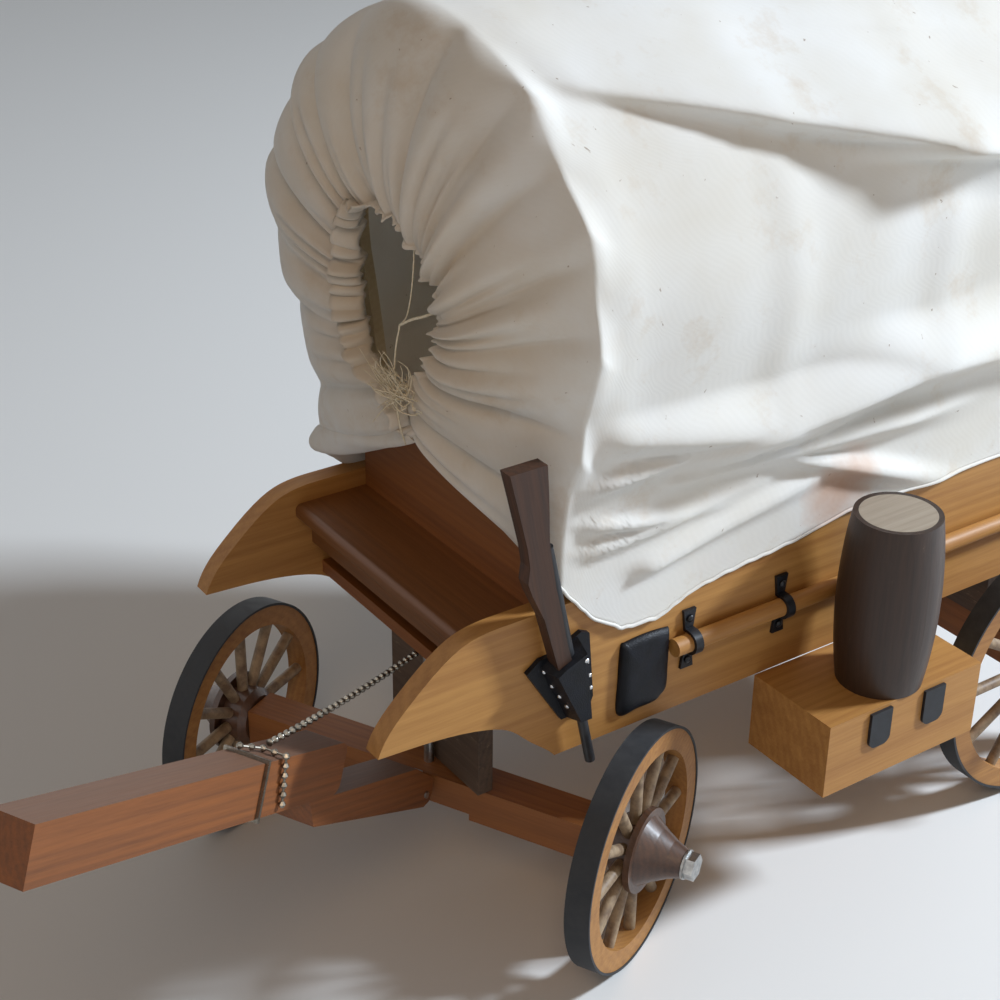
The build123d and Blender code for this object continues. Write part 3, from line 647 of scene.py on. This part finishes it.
def lift_of_pleats(share, seed):
    """How far the pleats stand out at a share of the way from the hoop to the string: each
    row of the table adds its ridges, less their level, times its height."""
    waver = 0.68 + 0.32 * np.sin(2 * np.pi * (3.3 * across + 0.2)) * np.sin(2 * np.pi * (7.1 * across + 0.6))
    lift = 0.0
    for count, own_seed, power, level, height, start, full, flatten, wavers in PLEATS:
        ridge = ridges(count, seed + own_seed, power) - level
        grown = smooth_step(start, full, share) * (1 - flatten * share)
        lift = lift + height * (waver if wavers else 1) * ridge * grown
    return lift


print("pleats at the string:", sum(row[0] for row in PLEATS))

# %% [markdown]
# ## From the hoop to the string
# Between the last hoop and the string the cloth runs forwards, rounds over like a shoulder
# and turns in to the mouth. A straight cone would look like a funnel, so each line from hoop
# to string is a cubic Bezier line, and short tables say how far it reaches on each side.

# %% Gathered end
FORWARD = [
    # share, reach ahead of the hoop, reach ahead of the mouth, swell of the shoulder, width of the collar
    (0.0, 4, 4, -6, 14), (0.12, 8, 7, -9, 18), (0.3, 9, 10, -9, 22), (0.42, 14, 14, -4, 24),
    (0.55, 26, 16, 1, 25), (0.68, 28, 14, -2, 22), (0.85, 20, 12, -3, 18), (1.0, 8, 8, -1, 14)]
RUFFLE = [
    # share, length, part outwards, part forwards, depth of folds
    (0.0, 3, -0.9, 0.1, 0.3), (0.40, 3, -0.8, 0.0, 0.4), (0.52, 4, -0.4, 0.8, 0.6),
    (0.62, 10, 0.4, 0.9, 1.0), (0.8, 14, 0.5, 0.85, 1.1), (0.93, 12, 0.3, 0.9, 1.2), (1.0, 9, 0.1, 0.9, 1.1)]
REAR_RUFFLE = [(0.0, 6, 0.2, 0.9, 0.8), (0.5, 10, 0.4, 0.8, 1.0), (1.0, 6, 0.2, 0.9, 0.8)]
CORNERS = [
    # share round the hoop, half width, height
    (0.115, 0.03, 3.5), (0.20, 0.05, 4.0), (0.285, 0.05, 4.5), (0.385, 0.06, 4.5), (0.63, 0.06, 4.0),
    (0.745, 0.045, 7.0), (0.86, 0.05, 3.0)]
RUFFLE_FOLDS, RUFFLE_SEED, RUFFLE_DEPTH = 34, 2, 1.7
FRONT_SEED, REAR_SEED = 11, 29
AHEAD = np.array([0, -1.0, 0])


def by_share(table, share):
    """Values read from a short table whose first column is the share, on straight lines
    between its rows."""
    table = np.asarray(table, float)
    row = np.clip(np.searchsorted(table[:, 0], share, side="right") - 1, 0, len(table) - 2)
    t = np.clip((share - table[row, 0]) / (table[row + 1, 0] - table[row, 0]), 0, 1)[:, None]
    return table[row, 1:] * (1 - t) + table[row + 1, 1:] * t


def gathered_end(hoop_line, seed, ruffle_table):
    """Rows from the ruffle's edge back to the hoop. A row at share s between hoop and
    string lies on a cubic Bezier line that leaves the hoop forwards and meets the mouth
    from outside, and pleats lift it along its own normal by |sin| times a growing height."""
    s = np.linspace(0, 1, GATHER_ROWS)[:, None, None]
    outward = hoop_line - mouth.mean(axis=0)
    outward[:, 1] = 0
    outward /= np.linalg.norm(outward, axis=1, keepdims=True)
    ahead_of_hoop, ahead_of_mouth, shoulder, collar = by_share(FORWARD, across).T[..., None]
    leave = hoop_line + ahead_of_hoop * AHEAD + outward * shoulder
    arrive = mouth + outward * collar + ahead_of_mouth * AHEAD
    base = (hoop_line * (1 - s) ** 3 + 3 * leave * s * (1 - s) ** 2 + 3 * arrive * s ** 2 * (1 - s)
            + mouth * s ** 3)
    normal = np.cross(np.gradient(base, axis=1), np.gradient(base, axis=0))
    normal /= np.maximum(np.linalg.norm(normal, axis=2, keepdims=True), 1e-9)
    pulled = pulled_out(CORNERS)[:, None] * (1 - smooth_step(0.0, 0.45, s))
    front = base + normal * lift_of_pleats(s[..., 0], seed)[..., None] + outward * pulled
    r = np.linspace(0, 1, RUFFLE_ROWS)[1:, None, None]
    length, outwards, forwards, depth = by_share(ruffle_table, across).T[..., None]
    fold = RUFFLE_DEPTH * np.sin(2 * np.pi * phase(across, RUFFLE_FOLDS, seed + RUFFLE_SEED))[:, None] * depth
    along = length * (forwards * AHEAD + outwards * outward * r)
    across_it = forwards * outward - outwards * AHEAD
    ruffle = front[-1] + r * along + fold * across_it * np.sin(np.pi * 0.5 * r)
    return np.concatenate([front, ruffle])


front_rows = gathered_end(front_hoop, FRONT_SEED, RUFFLE)
print("gathered front has", front_rows.shape[0], "rows")

# %% [markdown]
# ## Body of the cover
# Between the bows the cloth hangs a little, and long soft swells run slantwise down the
# side. Each swell is a ridge along a line on the cloth: its height falls off as half a
# cosine wave above the line and more steeply, half cosine and half square, below it. Each
# side has its own width, and a swell is wider and higher at one end than at the other.
# Where two meet, the higher one shows.

# %% Body rows
SWELLS = [
    # y and z where it starts, y and z where it ends, width above, width below and height at each end
    (22, 402, 205, 362, 14, 38, 7, 15, 7.0, 33.0),
    (205, 362, 386, 352, 38, 30, 15, 26, 33.0, 7.0),
    (24, 266, 112, 252, 12, 22, 12, 25, 4.0, 18.0),
    (112, 252, 200, 263, 22, 24, 25, 24, 18.0, 19.0),
    (70, 236, 190, 229, 7, 9, 9, 14, 5.0, 8.0),
    (13, 241, 60, 248, 5, 8, 7, 9, 5.0, 7.0),
    (14, 226, 46, 221, 5, 6, 5, 7, 5.0, 5.5),
    (24, 211, 62, 214, 5, 6, 6, 7, 4.5, 4.0),
    (60, 196, 122, 207, 8, 9, 9, 10, 5.5, 4.0),
    (142, 224, 186, 206, 6, 8, 7, 9, 6.0, 6.0),
    (200, 358, 410, 328, 18, 26, 24, 32, 11.0, 9.0),
    (200, 263, 400, 242, 24, 18, 24, 26, 19.0, 7.0),
    (230, 412, 420, 392, 10, 14, 14, 18, 5.0, 5.0),
    (60, 420, 210, 398, 4, 6, 4, 6, 1.8, 2.4)]
FIRST_BOW, BOW_STEP, BOW_LIFT, BOW_SPREAD = 24, 89.9, 1.3, 11
# the share of a swell's height on the right side, how far it fades beyond its front end, for
# those that start near the front and the others, and beyond its rear end
RIGHT_SHARE, NEAR_FRONT, FADE_SHORT, FADE_AHEAD, FADE_BEHIND = 0.28, 100, 9, 40, 45
# rows stand closer together near the front, where the folds are small
EVEN_PART, SQUARE_PART = 0.45, 0.55
even = np.linspace(0, 1, BODY_ROWS + 1)[1:-1]
body_y = COVER_FRONT + (COVER_REAR - COVER_FRONT) * (EVEN_PART * even + SQUARE_PART * even ** 2)
body = np.stack([hoop(y, left, right) for y, left, right in zip(body_y, *hems(body_y))])
body[..., 1] -= lean_ahead(body) * (1 - (body[..., 1] - COVER_FRONT) / (COVER_REAR - COVER_FRONT))
outside = np.cross(np.gradient(body, axis=0), np.gradient(body, axis=1))
outside /= np.linalg.norm(outside, axis=2, keepdims=True)
outside *= np.sign(outside[:, AROUND // 2, 2:3])[:, None]


def swell(y0, z0, y1, z1, above0, above1, below0, below1, height0, height1):
    """How far one swell lifts each point of the body: t runs from 0 to 1 along its line, off
    is the distance above it over the width there, and the lift is the height at t times the
    bell of off, faded out beyond both ends by exp of minus the distance squared."""
    line = np.array([y1 - y0, z1 - z0], float)
    length = np.linalg.norm(line)
    offset = np.stack([body[..., 1] - y0, body[..., 2] - z0], axis=-1)
    t = np.clip(offset @ line / length ** 2, 0, 1)
    off = offset @ np.array([-line[1], line[0]]) / length
    off = np.where(off > 0, off / (above0 + (above1 - above0) * t), off / (below0 + (below1 - below0) * t))
    past = (offset @ line / length ** 2 - t) * length
    d = np.clip(abs(off), 0, 1)
    bell = 0.5 + 0.5 * np.cos(np.pi * d)
    bell = np.where(off < 0, 0.5 * bell + 0.5 * (1 - d) ** 2, bell)
    fade_ahead = FADE_SHORT if y0 < NEAR_FRONT else FADE_AHEAD
    bell *= np.exp(-(past / np.where(past < 0, fade_ahead, FADE_BEHIND)) ** 2)
    sides = np.where(body[..., 0] > 0, 1.0, RIGHT_SHARE)
    return bell * (height0 + (height1 - height0) * t) * sides


raised = np.max([swell(*row) for row in SWELLS], axis=0)
over_bows = sum(np.exp(-((body_y - FIRST_BOW - BOW_STEP * n) / BOW_SPREAD) ** 2) for n in range(5))
raised += BOW_LIFT * over_bows[:, None] * smooth_step(0.02, 0.2, across) * smooth_step(0.02, 0.2, 1 - across)
print("body rows:", len(body_y), "and the highest swell", raised.max().round(1), "mm")

# %% [markdown]
# ## Raising the folds
# The swells push the cloth out square to itself, except that a real fold droops and leans
# ahead as it rises, so that it hangs over what is below. A slow wave of under a millimetre
# keeps the flat stretches from looking ironed. Both fade out towards the hoops, where the
# pleats' blunt corners take over. The rear end is the front end's recipe, mirrored, with an
# even ruffle and a seed of its own.

# %% Body and rear of the cover
WAVE_HEIGHT, FADE_LENGTH, CORNER_REACH = 0.8, 26, 9
wave = np.sin(body[..., 1] / 19 + body[..., 2] / 31) * np.sin(body[..., 1] / 47 - body[..., 2] / 23 + 1)
fade = smooth_step(0, FADE_LENGTH, body_y - COVER_FRONT) * smooth_step(0, FADE_LENGTH, COVER_REAR - body_y)
droop = outside * [1, 1, 0.15] + [0, -0.12, -0.15]
waved, folded = WAVE_HEIGHT * wave * fade[:, None], raised * fade[:, None]
body += outside * waved[..., None] + droop * folded[..., None]
for end in (COVER_FRONT, COVER_REAR):
    near_end = np.exp(-((body_y - end) / CORNER_REACH) ** 2)[:, None]
    body += outside * (pulled_out(CORNERS) * near_end)[..., None]

MIRROR, BOTH_ENDS = np.array([1, -1, 1.0]), np.array([0, COVER_FRONT + COVER_REAR, 0])
rear_seen = hoop(COVER_REAR, *hems(COVER_REAR)) * MIRROR + BOTH_ENDS
rear_rows = gathered_end(rear_seen, REAR_SEED, REAR_RUFFLE) * MIRROR + BOTH_ENDS
cover = np.concatenate([front_rows[::-1], body, rear_rows])
print("cover grid:", cover.shape[:2])

# %% [markdown]
# ## Cotton twill
# Twill shows as fine slanting ribs. Real ribs are about half a millimetre apart, too fine
# for the picture, so they are drawn 1.7 millimetres apart. The cotton is unbleached: cream,
# warmer in faint cloudy patches, a little soiled, with seed flecks. The gathers round the
# string are darker and warmer: partly soil from hands and partly painted warm shade, as the
# front end stands in shade. A rust mark sits above the barrel. A soft sheen stands for the
# fuzz, and a part of the light comes through.

# %% Cloth finish
RIB_MM = 1.7
# how many to the metre: threads, soft clouds and the noise that breaks a stain's edge
THREADS, CLOUDS, RAGGED = 1500.0, 16.0, 70.0
SPECKS = [
    # coordinates, how many to the metre, detail, roughness, where the mask starts and is full, share, colour
    ("Object", 34.0, 5.0, 0.7, 0.56, 0.76, 0.34, "#C9AC84"),
    ("UV", 260.0, 2.0, 0.5, 0.735, 0.77, 0.6, "#8A6A48")]
STAINS_AND_PAINTED_SHADE = [
    # middle and radius in millimetres, share and colour: rust mark; gathers, soil plus painted warm shade
    ((88, 168, 200), 30, 0.85, "#CF8F58"),
    # the gathers round the string: soil from hands and painted warm shade of the front end
    ((6, -14, 300), 118, 0.62, "#D6BD9A")]


def stain_or_painted_shade(tree, spot, centre_mm, size_mm):
    """A mask that is 1 at a point of the wagon and fades out over this radius: distance
    from the point, broken by noise."""
    size = size_mm / 1000
    away = add(tree, "VectorMath", {0: spot, 1: place(centre_mm).tolist()}, operation="DISTANCE").outputs
    ragged = add(tree, "TexNoise", {"Vector": spot, "Scale": RAGGED, "Detail": 4.0}).outputs[0]
    far = add(tree, "Math", {0: ragged, 1: 0.6 * size, 2: away["Value"]}, operation="MULTIPLY_ADD").outputs[0]
    return add(tree, "MapRange", {"Value": far, "From Min": 1.15 * size, "From Max": 0.35 * size}).outputs[0]


twill, tree, shader = new_finish("unbleached_cotton_twill")
cloth_at = add(tree, "TexCoord").outputs
ribs = add(tree, "TexWave", {"Vector": cloth_at["UV"], "Scale": WAVE_MM / RIB_MM, "Distortion": 0.15,
                             "Detail": 1.0}, wave_type="BANDS", bands_direction="DIAGONAL").outputs[0]
threads = add(tree, "TexNoise", {"Vector": cloth_at["UV"], "Scale": THREADS, "Detail": 2.0}).outputs[0]
clouds = add(tree, "TexNoise", {"Vector": cloth_at["Object"], "Scale": CLOUDS, "Detail": 4.0}).outputs[0]
cream = add(tree, "ValToRGB", {0: clouds}, [(0.35, colour("#F0EEE9")), (0.72, colour("#E6E0D4"))]).outputs[0]
rib_shade = add(tree, "MapRange", {"Value": ribs, "To Min": 0.992, "To Max": 1.0}).outputs[0]
cream = add(tree, "Mix", {0: 1.0, 6: cream, 7: rib_shade}, data_type="RGBA", blend_type="MULTIPLY").outputs[2]
for coordinates, scale, detail, roughness, starts, full, strength, hex_code in SPECKS:
    noise = add(tree, "TexNoise", {"Vector": cloth_at[coordinates], "Scale": scale, "Detail": detail,
                                   "Roughness": roughness}).outputs[0]
    mask = add(tree, "MapRange", {"Value": noise, "From Min": starts, "From Max": full,
                                  "To Max": strength}).outputs[0]
    cream = add(tree, "Mix", {0: mask, 6: cream, 7: colour(hex_code)}, data_type="RGBA").outputs[2]
# the rust mark is a real stain; on the gathers the mix is soil and painted warm shade
for centre_mm, size_mm, strength, hex_code in STAINS_AND_PAINTED_SHADE:
    mask = stain_or_painted_shade(tree, cloth_at["Object"], centre_mm, size_mm)
    mask = add(tree, "Math", {0: mask, 1: strength}, operation="MULTIPLY").outputs[0]
    cream = add(tree, "Mix", {0: mask, 6: cream, 7: colour(hex_code)}, data_type="RGBA").outputs[2]
tree.links.new(cream, shader.inputs["Base Color"])
weave = add(tree, "Math", {0: threads, 1: 0.4, 2: ribs}, operation="MULTIPLY_ADD")
relief = add(tree, "Bump", {"Height": weave.outputs[0], "Strength": 0.07, "Distance": 0.00015})
tree.links.new(relief.outputs[0], shader.inputs["Normal"])
shader.inputs["Roughness"].default_value = 0.88
shader.inputs["Sheen Weight"].default_value = 0.12
shader.inputs["Sheen Roughness"].default_value = 0.6
through = add(tree, "BsdfTranslucent", {"Color": cream})
cloth = add(tree, "MixShader", {0: 0.17, 1: shader.outputs[0], 2: through.outputs[0]})
tree.links.new(cloth.outputs[0], tree.nodes["Material Output"].inputs["Surface"])
print("twill ribs are drawn", RIB_MM, "mm apart")

# %% [markdown]
# ## The sheet itself
# The grid becomes one mesh in the place of the CAD model's smooth cover. Its UV map is the
# flat cloth: length round the front hoop one way and length along the wagon the other. A
# Solidify modifier gives it the thickness of the cloth, to the inside.

# %% The cover
CLOTH_THICKNESS = 0.0008
along_run = lengths(cover)
around_run = lengths(front_hoop)[None]
cloth_uv = np.stack([np.broadcast_to(around_run, along_run.shape), along_run], axis=-1)
canvas = grid_piece("canvas", cover, twill, "wagon", flip=True, uv_mm=cloth_uv)
wall = canvas.modifiers.new("cloth_thickness", "SOLIDIFY")
wall.thickness, wall.offset = CLOTH_THICKNESS, -1.0
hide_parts("canvas_cover")

# %% [markdown]
# ## Rolled hems
# Both long edges are rolled and stitched. The right one is fat and twisted where it crosses
# the front. A flat edge would look like paper, so each hem is a tube along the cloth's edge.
# Its radius wavers a little, and it closes to a point at both ends.

# %% Rolled hems
HEM_POINTS, FAT_ROLL = 360, 5.6


def edge_line(column, inset=0.0):
    """Points along one of the cover's outer columns, moved this far into the cloth."""
    rows = cover[:, column]
    toward = cover[:, column + (2 if column == 0 else -2)] - rows
    toward /= np.linalg.norm(toward, axis=1, keepdims=True)
    return smooth_line(rows + toward * inset, HEM_POINTS)


left_line, right_line = edge_line(0), edge_line(AROUND - 1, 1.0)
share = np.linspace(0, 1, HEM_POINTS)
roll = 0.85 + 0.15 * np.sin(41 * share) * np.sin(17 * share + 1)
fat = smooth_step(0.28, 0.17, share) * (0.66 + 0.34 * smooth_step(0.02, 0.14, share))
ends = smooth_step(0, 0.01, share) * smooth_step(1, 0.99, share)
thinned = 0.3 + 0.7 * ends
left_roll = tube(left_line, roll * thinned, 10)
right_roll = tube(right_line, (roll + FAT_ROLL * fat * ends) * thinned, 24, twist=52, lobes=3, lobe=0.1)
left_hem_tube = grid_piece("left_rolled_hem", left_roll, twill, "wagon", ring=True)
right_hem_tube = grid_piece("right_rolled_hem", right_roll, twill, "wagon", ring=True)

# %% [markdown]
# ## String and frayed ends
# The string that closes the mouth shows only where it crosses the opening, and it ends in a
# small frayed tuft. It is waxed cotton, twisted from two plies, so each strand is a tube with
# two lobes that turn as they run. The tuft is a bundle of short curved hairs, each a
# quadratic Bezier line from a root over a knee to a tip, drawn at random round one place.

# %% String and frayed tuft
cotton, tree, shader = new_finish("waxed_cotton_thread")
strand_at = add(tree, "TexCoord").outputs["Object"]
strands = add(tree, "TexNoise", {"Vector": strand_at, "Scale": 900.0, "Detail": 2.0}).outputs[0]
thread_shade = add(tree, "ValToRGB", {0: strands}, [(0.3, colour("#EFE5CF")), (0.7, colour("#DBCBAA"))])
tree.links.new(thread_shade.outputs[0], shader.inputs["Base Color"])
shader.inputs["Roughness"].default_value = 0.8
CROSSING = (12, -19.5, 298)
STRINGS = [
    # points in millimetres and the thread's radius
    ([(23, -19, 334), (21, -19, 318), (17, -19, 304), CROSSING], 0.34),
    ([CROSSING, (22, -20, 304), (32, -19.5, 309), (40, -17, 314)], 0.6),
    ([CROSSING, (9, -20, 285), (8, -20, 270), (8, -18, 252), (6, -14, 240)], 0.4)]
for number, (points, radius) in enumerate(STRINGS, 1):
    strand = tube(smooth_line(points, 60), radius, 7, twist=60, lobes=2, lobe=0.18)
    grid_piece(f"drawstring_{number}", strand, cotton, "wagon", ring=True)

HAIRS, HAIR_POINTS, TUFT_AT = 70, 12, [13, -20, 268]
rng = np.random.default_rng(5)
roots = np.array(TUFT_AT) + rng.normal(0, 1, (HAIRS, 3)) * [6, 1.5, 3.5]
tips = roots + rng.normal(0, 1, (HAIRS, 3)) * [7, 2.5, 6] + [-2, -5, 6]
knees = (roots + tips) / 2 + rng.normal(0, 3.0, (HAIRS, 3))
t = np.linspace(0, 1, HAIR_POINTS)[None, :, None]
hairs = roots[:, None] * (1 - t) ** 2 + 2 * knees[:, None] * t * (1 - t) + tips[:, None] * t ** 2
thin = [tube(hair, np.linspace(0.34, 0.14, HAIR_POINTS), 5) for hair in hairs]
tuft = grid_piece("frayed_tuft", np.concatenate(thin), cotton, "wagon", ring=True)

# %% [markdown]
# ## What holds the leather on
# Small domed nails with bright heads run down both edges of the scabbard, and each iron
# strap is held by round-headed screws above and below the rod. A dome is a profile turned
# about its axis, and one formula makes them all.

# %% Domed nails and screw heads
DOME_SIDES, DOME_RINGS = 14, 5
NAIL_RADIUS, NAIL_HEIGHT, SCREW_RADIUS, SCREW_HEIGHT = 1.25, 0.9, 1.9, 1.1


def domes(name, centres_mm, radius, height, material, direction=(1, 0, 0)):
    """Low domes that stand out along direction: ring k has radius r cos(a) and height
    h sin(a), for a from 0 to a right angle, so the top closes to a point. A first ring of
    no size closes the foot."""
    out = np.array(direction, float) / np.linalg.norm(direction)
    side = np.cross(out, [0, 0.2, 1.0])
    side /= np.linalg.norm(side)
    over = np.cross(out, side)
    a = np.linspace(0, np.pi / 2, DOME_RINGS)[:, None]
    b = np.linspace(0, 2 * np.pi, DOME_SIDES, endpoint=False)[None, :]
    to_side, to_over = radius * np.cos(a) * np.cos(b), radius * np.cos(a) * np.sin(b)
    rings = to_side[..., None] * side + to_over[..., None] * over
    rings = rings + (height * np.sin(a) + 0 * b)[..., None] * out
    dome = np.concatenate([0 * rings[:1], rings])
    for number, centre in enumerate(np.asarray(centres_mm, float), 1):
        grid_piece(f"{name}_{number}", dome + centre, material, "wagon", ring=True)


bright = coated("polished_nail_head", "#D6D7D9", "#A9ABAE", 2.0, 0.22, metallic=1.0, bump=0.05)
PLATE_NAILS = [(83.3, 27.2, 158.0), (83.3, 28.7, 150.8), (83.3, 29.6, 144.1), (92.8, 19.7, 166.6)]
EDGE_NAILS = [(84.1, 3.9, 162.0), (84.6, 7.9, 153.7), (86.4, 10.8, 148.5), (88.2, 13.6, 143.4)]
OUT_OF_EDGE = (0.21, -0.88, -0.42)
domes("scabbard_nail", PLATE_NAILS, NAIL_RADIUS, NAIL_HEIGHT, bright)
domes("scabbard_edge_nail", EDGE_NAILS, NAIL_RADIUS, NAIL_HEIGHT, bright, direction=OUT_OF_EDGE)

STRAP_X, STRAP_Y, ROD_Z, FROM_ROD = 83.0, (84.0, 138.0), 149.5, 10.6
screws = [(STRAP_X, y, ROD_Z + dz) for y in STRAP_Y for dz in (FROM_ROD, -FROM_ROD)]
domes("strap_screw", screws, SCREW_RADIUS, SCREW_HEIGHT, black_iron)

# %% [markdown]
# ## The leather pad
# A padded square of black leather is fixed to the side board. Its face is crowned, its
# edges are rounded over and its lower rear corner is cut off. Rings shrink from that
# outline to the middle while the face rises, fast at the edge and hardly at all in the
# middle, as stuffed leather does.

# %% Leather pad
PAD_OUTLINE = [
    # y, z round the edge
    (46.4, 122.6), (56, 122.2), (66.2, 122.4), (69.8, 124.6), (73.0, 128.6), (73.2, 142), (73.0, 157.6),
    (71, 159.2), (60, 160.0), (49, 159.2), (46.6, 157.8), (46.0, 142)]
PAD_BACK, PAD_THICK, PAD_POINTS, PAD_RINGS = 81.05, 4.4, 96, 26
# how much higher the middle is than the rim of the face, and the height of its unevenness
PAD_CROWN, PAD_UNEVEN = 0.12, 0.25
edge = smooth_line(PAD_OUTLINE, PAD_POINTS, closed=True)
middle = edge.mean(axis=0)
inward = np.linspace(0, 1, PAD_RINGS)[:, None, None] ** 1.8
ring_yz = edge + (middle - edge) * inward
to_edge = 1 - inward[..., 0]
rise = PAD_THICK * (1 - to_edge ** 7) ** 0.6 * (1 - PAD_CROWN * to_edge) + 0 * ring_yz[..., 0]
rise += PAD_UNEVEN * np.sin(ring_yz[..., 0] / 3.1) * np.sin(ring_yz[..., 1] / 4.3 + 1) * inward[..., 0]
face = np.stack([PAD_BACK + rise, ring_yz[..., 0], ring_yz[..., 1]], axis=-1)
face[-1] = face[-1].mean(axis=0)
rim = np.stack([np.full(PAD_POINTS, PAD_BACK), edge[:, 0], edge[:, 1]], axis=-1)
back_middle = np.broadcast_to([PAD_BACK, middle[0], middle[1]], rim.shape)
pad_points = np.concatenate([back_middle[None], rim[None], face])
pad = grid_piece("padded_leather_square", pad_points, hide, "wagon", ring=True)
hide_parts("leather_pad")

# %% [markdown]
# ## The bead chain
# A chain of steel beads on a wire runs back from the knot on the tongue to the ring round
# the kingpin. As a stiff rod it would run into the kingpin when the tongue is raised. It is
# one tube whose radius swells at every bead, attached to no body. Its own weight makes it
# hang a little.

# %% Bead chain
BEAD_RADIUS, BEAD_PITCH, WIRE_RADIUS, CHAIN_SAG = 1.6, 4.1, 0.5, 1.6
chain_low, chain_high = ((np.array(corner) - PIN) * 1000 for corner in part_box("chain"))
at_ring = np.array([chain_low[0], chain_high[1], chain_low[2]]) + BEAD_RADIUS * np.array([1, -1, 1])
at_knot = np.array([chain_high[0], chain_low[1], chain_high[2]]) - BEAD_RADIUS * np.array([1, -1, 1])
chain_run = np.linalg.norm(at_knot - at_ring)
beads = round(chain_run / BEAD_PITCH)
t = np.linspace(0, 1, 12 * beads + 1)
chain_path = at_ring + (at_knot - at_ring) * t[:, None]
chain_path[:, 2] -= CHAIN_SAG * 4 * t * (1 - t)
# at a distance d from a bead's middle the radius is the root of r^2 - d^2, or the wire's if that is more
from_middle = (beads * t - np.round(beads * t)) * chain_run / beads
ball = np.sqrt(np.maximum(BEAD_RADIUS ** 2 - from_middle ** 2, 0))
beads_on_wire = tube(chain_path, np.maximum(ball, WIRE_RADIUS), 12)
bead_chain = grid_piece("bead_chain", beads_on_wire, bead_steel, None, ring=True)
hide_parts("chain")
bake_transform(bead_chain)
print("chain has", beads + 1, "beads over", chain_run.round(1), "mm")
